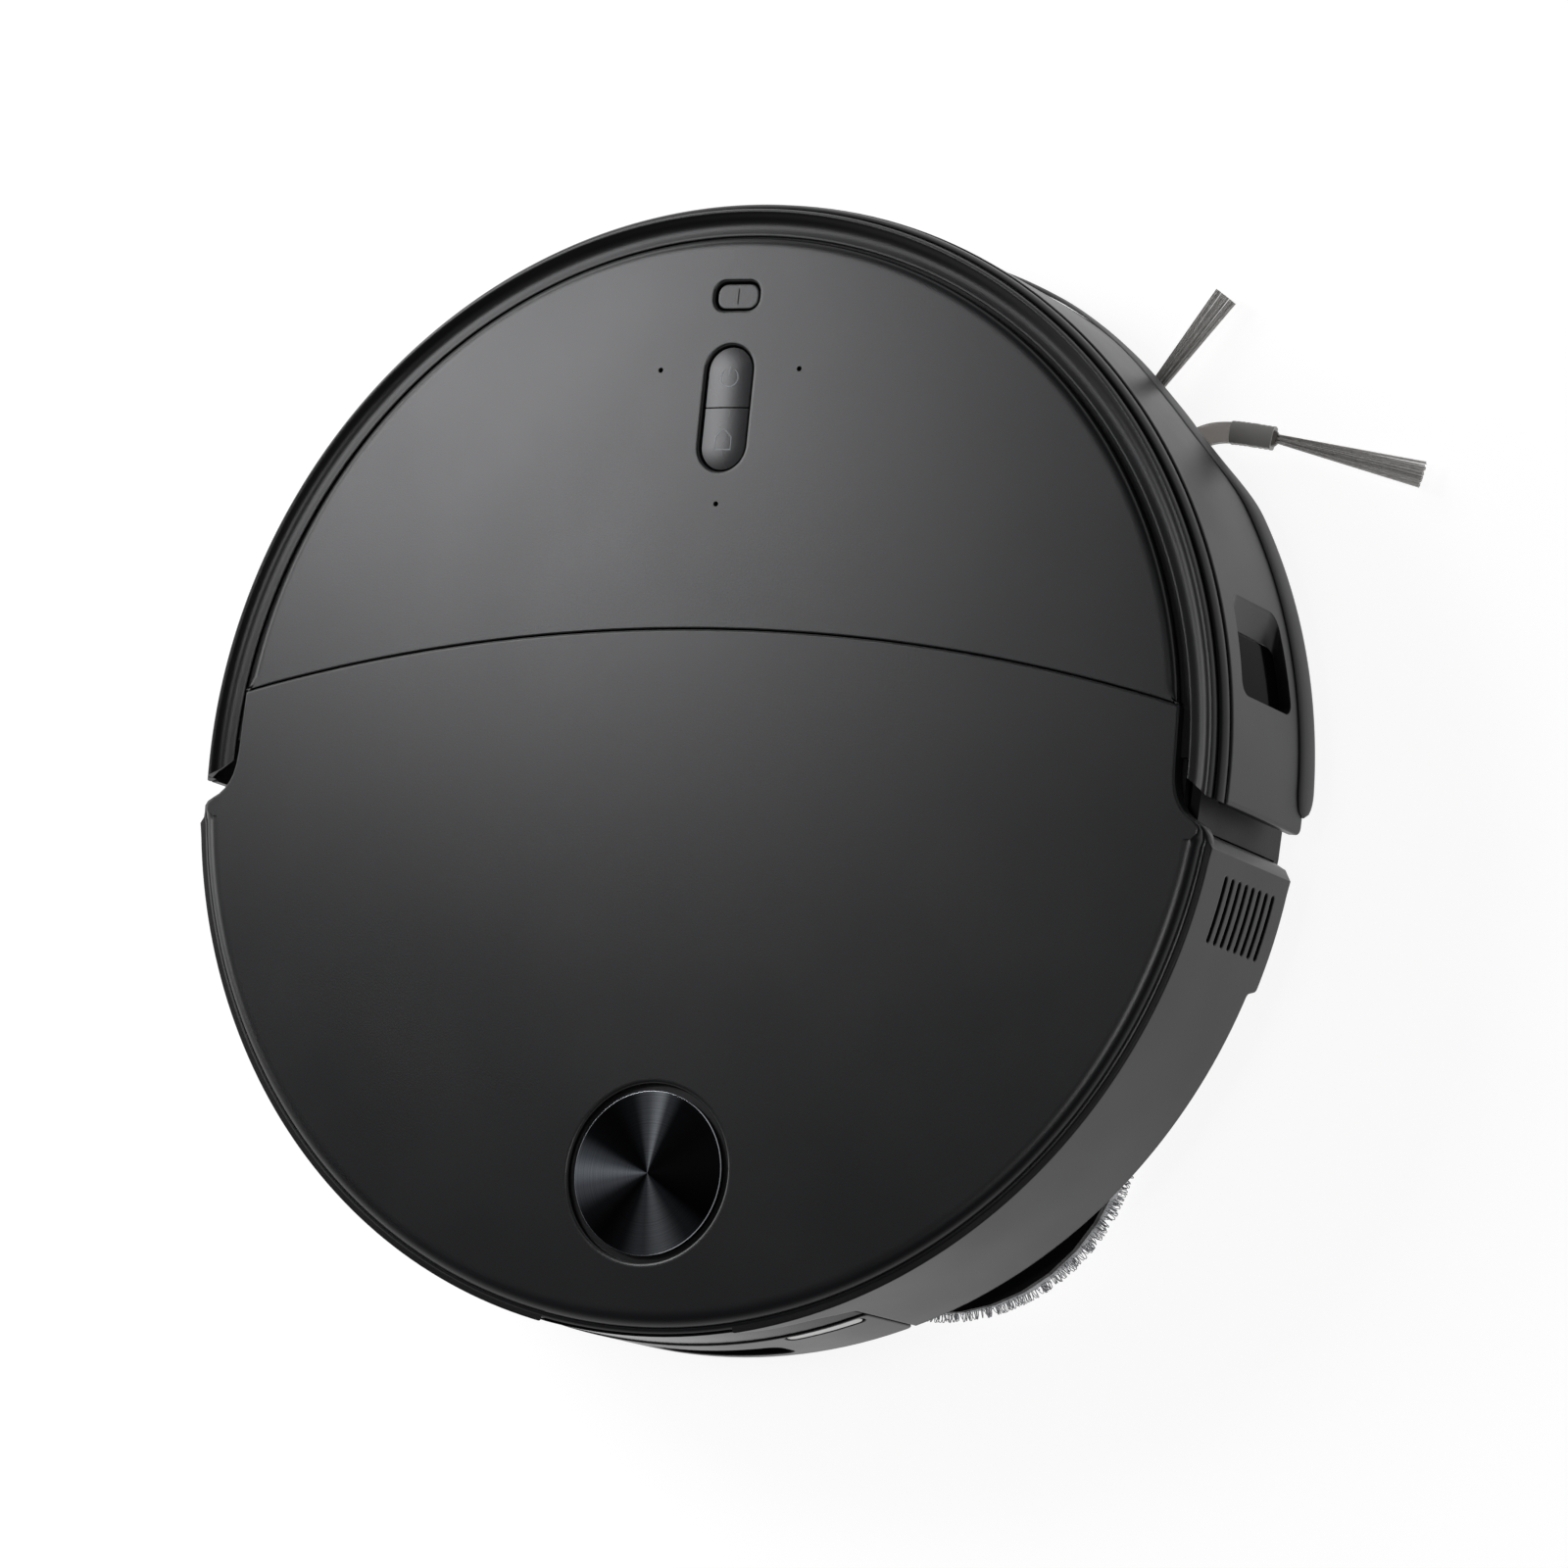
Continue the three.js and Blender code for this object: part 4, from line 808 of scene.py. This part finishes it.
step_u = at_rear(57.5)
right_foot = [(67.8, WALL_STEP, 0.5), (step_u, WALL_STEP, 1.5), (step_u + 1.5, WALL_LOW, 1.5),
              (wall_half, WALL_LOW, 1.5), (wall_half, WALL_HIGH, 0), (33.0, WALL_HIGH, 0), (41.0, 62.5, 9),
              (58.0, 59.5, 9), (67.8, 54.0, 2)]
right_wall = filleted(right_foot)
left_wall = filleted([(-x, y, r) for x, y, r in right_foot[::-1]])
vents = []
for row in range(VENT_COUNT):
    z = VENT_Z + VENT_PITCH * row
    vents.append(rounded_box(at_rear(VENT_Y[0]), at_rear(VENT_Y[1]), z - 1, z + 1, 0.99, 4)[::-1])
vent_rings = [(0, -2.8), (0, -0.35), (0.1, -0.1), (0.35, 0.0), (0.7, 0.0)]
wall = slab([right_wall, left_wall] + vents, [edge_ring(-2.8, 0, 0.5)] * 2 + [vent_rings] * VENT_COUNT,
            every(4, wall_half), wall_path)
fit(wall, "rear_wall_skin", "chassis", "black_abs_wall", satin_abs, "rear_wall")

# ---- Docking module -------------------------------------------------------
# At the back a separate ABS moulding carries the two stainless charging strips and the dock's
# water and dust port. Above it a band of smoked plastic hides the dock's guide lamps.
MODULE_HALF, CONTACT_U = 67.2, 51.5
module = rounded_box(-MODULE_HALF, MODULE_HALF, 13.2, 45.8, 2)
module_path, module_half = bent(arc(WALL_R, 50, 130, 160))
contacts = [rounded_box(u - 13.2, u + 13.2, 38.7, 45.0, 2.5)[::-1] for u in (-CONTACT_U, CONTACT_U)]
port = rounded_box(-14, 30.5, 18, 33, 4)[::-1]
recess = [(0, -2.7), (0, -0.25), (0.25, 0.0), (0.6, 0.0)]
dock = slab([module, *contacts, port], [edge_ring(-2.8, 0, 0.4), recess, recess, recess],
            every(5, module_half), module_path)
fit(dock, "dock_module_skin", "chassis", "black_abs_wall", satin_abs, "rear_dock_module")
# Stainless strip, pressed and tumbled: pale and even.
steel = moulding("stainless_strip", "a6a6a5", 0.8, 0.004, 0.32, 0.03, Metallic=1.0)
for side, name in ((1, "right"), (-1, "left")):
    u = CONTACT_U * side
    bar = slab([rounded_box(u - 12.4, u + 12.4, 39.5, 44.6, 2.2)],
               [edge_ring(-1.6, -0.1, 0.3)], every(5, module_half), module_path)
    fit(bar, f"charging_strip_{name}", "chassis", "contact_steel", steel, f"charge_contact_{name}")
# Smoked acrylic with a matt back: it stays black where the clear light round it would show.
acrylic = moulding("smoked_acrylic", "050506", 30, 0.01, 0.16, 0.02, 0.2, IOR=1.09)
half_band = [(MODULE_HALF, 46.3, 1), (MODULE_HALF, 53.6, 2), (57.8, 59.1, 9), (40.6, 62.2, 9), (32.0, 66.5, 1)]
band = filleted([(-MODULE_HALF, 46.3, 1)] + half_band + [(-x, z, r) for x, z, r in half_band[:0:-1]])
fit(slab([band], [edge_ring(-3.4, -0.5, 0.5)], every(5, module_half), module_path),
    "guide_lamp_window", "chassis", "infrared_glass", acrylic, "rear_window")

# ---- Top panel ------------------------------------------------------------
# The fixed front half of the top: a flat ABS moulding with a fine soft-feel paint, screwed down
# from inside, with openings for the keys and three tiny holes for the microphones.
TOP = 69.8
PANEL_R, PANEL_SHIFT = 160.3, -2.4
SEAM_R, SEAM_Y, SEAM_HALF = 616.0, 575.4, 0.22
PANEL_BASE = 64.3
PILL_HALF, PILL_Y = 8.1, (-128.8, -89.4)
SWITCH_Y, SWITCH_HALF = -144.2, (7.7, 4.55)
MICROPHONES = ((23.9, -121.1), (-23.9, -121.1), (0.0, -79.2))


def bow(half, offset, steps=40):
    """The bowed joint between the panel and the cover, from -X to +X."""
    xs = [-half + 2 * half * i / steps for i in range(steps + 1)]
    return [(x, SEAM_Y - math.sqrt((SEAM_R + offset) ** 2 - x * x)) for x in xs]


panel_seam = bow(159.4, SEAM_HALF)
seam_angle = math.degrees(math.atan2(panel_seam[0][1] - PANEL_SHIFT, panel_seam[0][0])) % 360
panel_outline = panel_seam[::-1] + arc(PANEL_R, seam_angle, 540 - seam_angle, 220, (0, PANEL_SHIFT))
# Soft-feel paint over ABS: the palest of the blacks, with a grain that breaks up the light.
paint = moulding("soft_feel_paint", "121315", 0.55, 0.016, 0.3, 0.01, IOR=1.5)


def panel_edge(x, y):
    """The rim is rounded off more than the joint."""
    ahead = SEAM_Y - math.sqrt(SEAM_R ** 2 - x * x) - y
    return 0.12 + 0.88 * ease(ahead / 5)


def rounded_over(profile, edge):
    """Rings over an edge from (inset, drop) steps, all scaled by how full the rounding is there."""
    rings = []
    for inset, drop in profile:
        rings.append((lambda x, y, i=inset: i * edge(x, y), lambda x, y, d=drop: TOP - d * edge(x, y)))
    return rings


# Under the rim the wall steps in, so that the bumper's trim can slide beneath it.
STEP_IN, STEP_Z = 2.4, 67.25
RIM_PROFILE = ((0, 1.9), (0.15, 1.3), (0.5, 0.75), (1.0, 0.38), (1.6, 0.15), (2.3, 0.04), (3.1, 0.0), (3.8, 0.0))
under_rim = lambda x, y: STEP_IN * panel_edge(x, y)
panel_rings = [(under_rim, PANEL_BASE), (under_rim, STEP_Z), (0, STEP_Z + 0.1)] + rounded_over(RIM_PROFILE, panel_edge)
pill_hole = (arc(PILL_HALF, 0, 180, 24, (0, PILL_Y[1] - PILL_HALF))
             + arc(PILL_HALF, 180, 360, 24, (0, PILL_Y[0] + PILL_HALF)))[::-1]


def switch_outline(half_width, half_height, radius):
    """The main switch's rounded rectangle, at one size for the opening and one for the cap."""
    return rounded_box(-half_width, half_width, SWITCH_Y - half_height, SWITCH_Y + half_height, radius)


switch_hole = switch_outline(*SWITCH_HALF, 3.7)[::-1]
HOLE_PROFILE = ((0, 0.75), (0.08, 0.45), (0.24, 0.2), (0.46, 0.05), (0.75, 0), (1.2, 0))
hole_rings = [(0, PANEL_BASE)] + [(inset, TOP - drop) for inset, drop in HOLE_PROFILE]
tiny_rings = [(0, PANEL_BASE), (0, TOP - 0.15), (0.15, TOP), (0.3, TOP)]
tiny_holes = [arc(0.72, 360, 22.5, 15, place) for place in MICROPHONES]
panel = slab([panel_outline, pill_hole, switch_hole, *tiny_holes],
             [panel_rings, hole_rings, hole_rings, tiny_rings, tiny_rings, tiny_rings])
fit(panel, "top_panel_skin", "chassis", "black_abs_skin", paint, "top_panel")
# A thin flange runs out from under the panel, and the bumper's trim slides over it when pressed.
FLANGE_SECTION = ((158.6, 65.6), (166.0, 65.6), (166.0, 66.0), (164.0, 66.1), (161.0, 66.1), (158.6, 66.1))
fit(swept(FLANGE_SECTION, lambda radius: (181.5, 358.5), 200), "panel_flange", "chassis", "black_abs_wall", pan_abs)

# ---- Rear cover -----------------------------------------------------------
# The rear half of the top lifts off for the dustbin. It is the same painted moulding, rounded over
# at the back above a thin lip, with a shallow round pocket for the badge disc.
COVER_R = 173.8
BADGE_Y, POCKET_R, POCKET_DEPTH = 125.6, 27.1, 1.9
shoulder = [(160.2, -19.0), (160.3, -15), (160.6, 0), (161.0, 4), (161.7, 7), (162.8, 9.4), (164.3, 11.6),
            (166.1, 13.3), (168.2, 14.6), (170.2, 15.7), (171.6, 16.9), (172.5, 18.6), (172.95, 20.6)]
back_angle = math.degrees(math.asin(23.0 / COVER_R))
cover_outline = shoulder + arc(COVER_R, back_angle, 180 - back_angle, 260)
cover_outline += [(-x, y) for x, y in shoulder[::-1]] + bow(159.4, -SEAM_HALF)


def cover_edge(x, y):
    """Full rounding round the back, next to none along the shoulders and the joint."""
    return 0.12 + 0.88 * ease((y - 14.5) / 5.5)


COVER_PROFILE = ((0, 4.3), (0.1, 3.75), (0.45, 3.2), (0.95, 2.8), (1.5, 2.6), (1.8, 2.6), (1.95, 2.75), (2.1, 2.75),
                 (2.15, 2.35), (2.35, 1.85), (2.75, 1.35), (3.3, 0.9), (4.0, 0.5), (4.8, 0.22), (5.6, 0.06), (6.4, 0.0),
                 (7.4, 0.0))
cover_rings = [(0, PANEL_BASE)] + rounded_over(COVER_PROFILE, cover_edge)
pocket = arc(POCKET_R, 360, 2.5, 143, (0, BADGE_Y))
cover_top = slab([cover_outline, pocket], [cover_rings, [
    (0, TOP - POCKET_DEPTH - 0.8), (0, TOP - 0.7), (0.12, TOP - 0.35), (0.4, TOP - 0.1), (0.9, TOP), (1.5, TOP)]])
fit(cover_top, "rear_cover_skin", "rear_cover", "black_abs_skin", paint, "rear_cover")
# The pocket's floor is part of the same moulding, seen as a dark ring round the disc.
pocket_floor = bmesh.new()
bmesh.ops.create_cone(pocket_floor, cap_ends=True, segments=96, radius1=POCKET_R + 0.5, radius2=POCKET_R + 0.5,
                      depth=0.8, matrix=Matrix.Translation((0, BADGE_Y, TOP - POCKET_DEPTH - 0.6)))
fit(pocket_floor, "badge_pocket_floor", "rear_cover", "black_abs_skin", paint)


# Spun and anodised aluminium: fine turning rings, and painted highlights: fans of reflected light that run out from the
# centre, painted into its base colour by angle round the middle.
DISC_R, DISC_TOP, RING_MM = 24.9, 69.5, 0.45
spun_metal, disc_tree, disc_surface = surfaced(
    "spun_anodised_aluminium", Metallic=1.0, Roughness=0.3, Anisotropic=0.75)
object_place = add_node(disc_tree, "ShaderNodeTexCoord").outputs["Object"]
centred = add_node(disc_tree, "ShaderNodeVectorMath", {0: object_place, 1: (0, BADGE_Y * MM, 0)}, operation="SUBTRACT")
around = add_node(disc_tree, "ShaderNodeVectorMath", {0: (0, 0, 1), 1: centred.outputs[0]}, operation="CROSS_PRODUCT")
tangent = add_node(disc_tree, "ShaderNodeVectorMath", {0: around.outputs[0]}, operation="NORMALIZE")
disc_tree.links.new(tangent.outputs[0], disc_surface.inputs["Tangent"])
flat_place = add_node(disc_tree, "ShaderNodeVectorMath", {0: centred.outputs[0], 1: (1, 1, 0)}, operation="MULTIPLY")
distance = add_node(disc_tree, "ShaderNodeVectorMath", {0: flat_place.outputs[0]}, operation="LENGTH")
rings = add_node(disc_tree, "ShaderNodeTexNoise", {
    "W": calc(disc_tree, "MULTIPLY", distance.outputs["Value"], 1 / (RING_MM * MM)), "Scale": 1.0, "Detail": 3.0,
    "Roughness": 0.7}, noise_dimensions="1D").outputs["Fac"]
parts = add_node(disc_tree, "ShaderNodeSeparateXYZ", {0: flat_place.outputs[0]})
turn_share = add_node(disc_tree, "ShaderNodeMapRange", {
    "Value": calc(disc_tree, "ARCTAN2", parts.outputs["Y"], parts.outputs["X"]),
    "From Min": -math.pi, "From Max": math.pi, "To Min": 0.0, "To Max": 1.0})
# Painted highlights: the base colour is light in three fans and dark between them, and stands in for the lamps'
# reflections in the turning rings.
painted_fan_ramp = add_node(disc_tree, "ShaderNodeValToRGB", {0: turn_share.outputs[0]})
PAINTED_FAN_HIGHLIGHTS = ((0.0, "060607"), (0.10, "050506"), (0.18, "0c0d0f"), (0.212, "383a3e"), (0.235, "888c91"), (0.27, "5a5d62"),
        (0.305, "26282b"), (0.36, "121315"), (0.42, "121315"), (0.46, "3c3f43"), (0.50, "565a5e"), (0.54, "3a3c40"),
        (0.60, "121315"), (0.65, "040405"), (0.70, "101113"), (0.755, "3a3d41"), (0.81, "8c9095"), (0.87, "3c3f44"),
        (0.92, "08080a"), (1.0, "060607"))
for position, code in PAINTED_FAN_HIGHLIGHTS[1:-1]:
    painted_fan_ramp.color_ramp.elements.new(position)
for stop, (position, code) in zip(painted_fan_ramp.color_ramp.elements, PAINTED_FAN_HIGHLIGHTS):
    stop.color = rgb(code)
painted_fan_ramp.color_ramp.interpolation = "EASE"
# The painted highlight fans, made a little uneven by the real turning rings.
painted_fans_and_rings = add_node(disc_tree, "ShaderNodeVectorMath", {
    0: painted_fan_ramp.outputs[0], 1: stretched(disc_tree, rings, 0.8, 1.2)}, operation="MULTIPLY")
disc_tree.links.new(painted_fans_and_rings.outputs[0], disc_surface.inputs["Base Color"])
disc_bump = add_node(disc_tree, "ShaderNodeBump", {"Height": rings, "Distance": 0.004 * MM, "Strength": 0.5})
disc_tree.links.new(disc_bump.outputs[0], disc_surface.inputs["Normal"])
disc_section = [(0, 67.9), (DISC_R - 0.1, 67.9), (DISC_R, 68.0), (DISC_R, 69.15), (DISC_R - 0.08, 69.35),
                (DISC_R - 0.3, DISC_TOP), (DISC_R - 1.6, DISC_TOP), (0, DISC_TOP)]
fit(spun(disc_section, (0, BADGE_Y)), "badge_disc_face", "rear_cover", "spun_aluminium", spun_metal,
    "badge_disc", crease=18)
# The chamfer is cut with a diamond after anodising, so its edge is bare and bright.
cut_edge = moulding("diamond_cut_edge", "a8abb0", 0.4, 0.002, 0.2, 0.02, Metallic=1.0)
edge_section = [(DISC_R - 0.1, 69.1), (DISC_R + 0.05, 69.15), (DISC_R + 0.04, 69.42), (DISC_R - 0.12, 69.6),
                (DISC_R - 0.22, 69.61), (DISC_R - 0.28, DISC_TOP)]
edge_mesh = swept(edge_section, lambda radius: (0, 360), 160)
edge_mesh.transform(Matrix.Translation((0, BADGE_Y, 0)))
fit(edge_mesh, "badge_disc_rim", "rear_cover", "spun_aluminium", cut_edge)

# ---- Keys -----------------------------------------------------------------
# Two crowned keys share one long opening, each on its own dome switch, and are marked with thin
# pad-printed signs. The separate main switch sits a little lower, and the line cut into it is a strip of painted shade.
KEY_GAP, KEY_TOP, KEY_CROWN = 0.65, 69.3, 0.5
PILL_SPLIT, SPLIT_HALF = -109.3, 0.22
SIGN_WIDTH = 0.34
key_half = PILL_HALF - KEY_GAP
# Gloss black ABS, polished in the mould.
key_abs = moulding("polished_key_abs", "1d1e20", 0.4, 0.006, 0.27, 0.02, IOR=1.5)
# Grey pad-printing ink.
ink = moulding("grey_printing_ink", "8d9297", 0.2, 0.002, 0.5, 0.04)


def crown(x, y, low, high):
    """Height of the crowned pill at a point, from its distance to the pill's middle line."""
    spine = max(low, min(high, y))
    away = min(1.0, math.hypot(x, y - spine) / key_half)
    return KEY_TOP - KEY_CROWN * away ** 2


key_spine = (PILL_Y[0] + PILL_HALF, PILL_Y[1] - PILL_HALF)


def pill_key(name, body, node, y_from, y_to, round_end):
    """Half of the pill: rings that shrink towards the spine, each at the crown's height."""
    mesh = bmesh.new()
    rows = []
    flat = y_to if round_end < 0 else y_from
    for ring in range(15):
        share = ring / 14 if ring else 0.0
        radius = key_half * (1 - share)
        if round_end < 0:
            outline = [(radius, flat)] + arc(radius, 0, -180, 28, (0, key_spine[0])) + [(-radius, flat)]
        else:
            outline = [(-radius, flat)] + arc(radius, 180, 0, 28, (0, key_spine[1])) + [(radius, flat)]
        lift = 0.0 if ring else 0.25
        rows.append([mesh.verts.new((x, y, crown(x, y, *key_spine) - lift)) for x, y in outline])
        if ring == 0:
            base = [mesh.verts.new((v.co.x, v.co.y, PANEL_BASE + 0.7)) for v in rows[0]]
            rows = [base, rows[0]]
            eased = [(v.co.x * 0.985, v.co.y) for v in rows[1]]
            rows.append([mesh.verts.new((x, y, crown(x, y, *key_spine))) for x, y in eased])
    bridge(mesh, rows, 1)
    bmesh.ops.remove_doubles(mesh, verts=mesh.verts, dist=0.0005)
    bmesh.ops.holes_fill(mesh, edges=[e for e in mesh.edges if e.is_boundary])
    return fit(mesh, name, body, "key_plastic", key_abs, node, crease=40)


pill_key("power_key_cap", "power_key", "power_key", PILL_Y[0], PILL_SPLIT - SPLIT_HALF, -1)
pill_key("home_key_cap", "home_key", "home_key", PILL_SPLIT + SPLIT_HALF, PILL_Y[1], 1)


def printed(name, body, strokes, width, height_at, material=ink, slot="key_plastic", thick=0.06):
    """Thin lines, printed ink or painted shade, that lie on a surface: each stroke is a list of points."""
    mesh = bmesh.new()
    for stroke in strokes:
        closed = stroke[0] == stroke[-1]
        points = stroke[:-1] if closed else stroke
        left, right = [], []
        for i, (x, y) in enumerate(points):
            before = points[i - 1] if closed or i else points[i]
            after = points[(i + 1) % len(points)] if closed or i < len(points) - 1 else points[i]
            way = Vector((after[0] - before[0], after[1] - before[1])).normalized() * width / 2
            left.append((x - way.y, y + way.x))
            right.append((x + way.y, y - way.x))
        corners = []
        for a, b in zip(left, right):
            around = ((a, 0.01), (b, 0.01), (b, thick), (a, thick))
            corners.append([mesh.verts.new((*p, height_at(*p) + up)) for p, up in around])
        bridge(mesh, corners + corners[:1] if closed else corners)
        if not closed:
            mesh.faces.new(corners[0])
            mesh.faces.new(corners[-1])
    return fit(mesh, name, body, slot, material)


def densely(points, step=0.3):
    """The same line with points no more than a step apart."""
    dense = [points[0]]
    for a, b in zip(points, points[1:]):
        count = max(1, math.ceil(math.dist(a, b) / step))
        dense += [(a[0] + (b[0] - a[0]) * i / count, a[1] + (b[1] - a[1]) * i / count) for i in range(1, count + 1)]
    return dense


on_crown = lambda x, y: crown(x, y, *key_spine)
POWER_AT, HOME_Y = (0.0, -118.7), -98.6
power_ring = arc(2.9, -90 + 35, -90 + 325, 40, POWER_AT)
power_sign = [power_ring, densely([(0.0, POWER_AT[1] - 3.4), (0.0, POWER_AT[1] - 0.2)])]
printed("power_sign", "power_key", power_sign, SIGN_WIDTH, on_crown)
home_shape = ((-2.7, 2.4), (-2.7, -1.5), (0, -4.1), (2.7, -1.5), (2.7, 2.4), (-2.7, 2.4))
home_line = [(x, HOME_Y + y) for x, y in home_shape]
printed("home_sign", "home_key", [densely(home_line)], SIGN_WIDTH, on_crown)

SWITCH_TOP = TOP - 1.0
fit(slab([switch_outline(7.1, 4.0, 3.3)], [edge_ring(PANEL_BASE + 0.9, SWITCH_TOP, 0.35)]),
    "main_switch_cap", "main_switch_key", "black_gloss_trim", paint, "main_switch_key")
# The line cut into the cap is drawn as a thin dark strip on top of it: painted shade that stands in for the shadow of
# the groove's walls.
groove_painted_shade = moulding("switch_groove_painted_shade", "080808", 0.2, 0.002, 0.7, 0.03)
printed("main_switch_mark", "main_switch_key", [densely([(0.0, SWITCH_Y - 2.4), (0.0, SWITCH_Y + 2.4)])], 0.4,
        lambda x, y: SWITCH_TOP, groove_painted_shade, "black_gloss_trim")
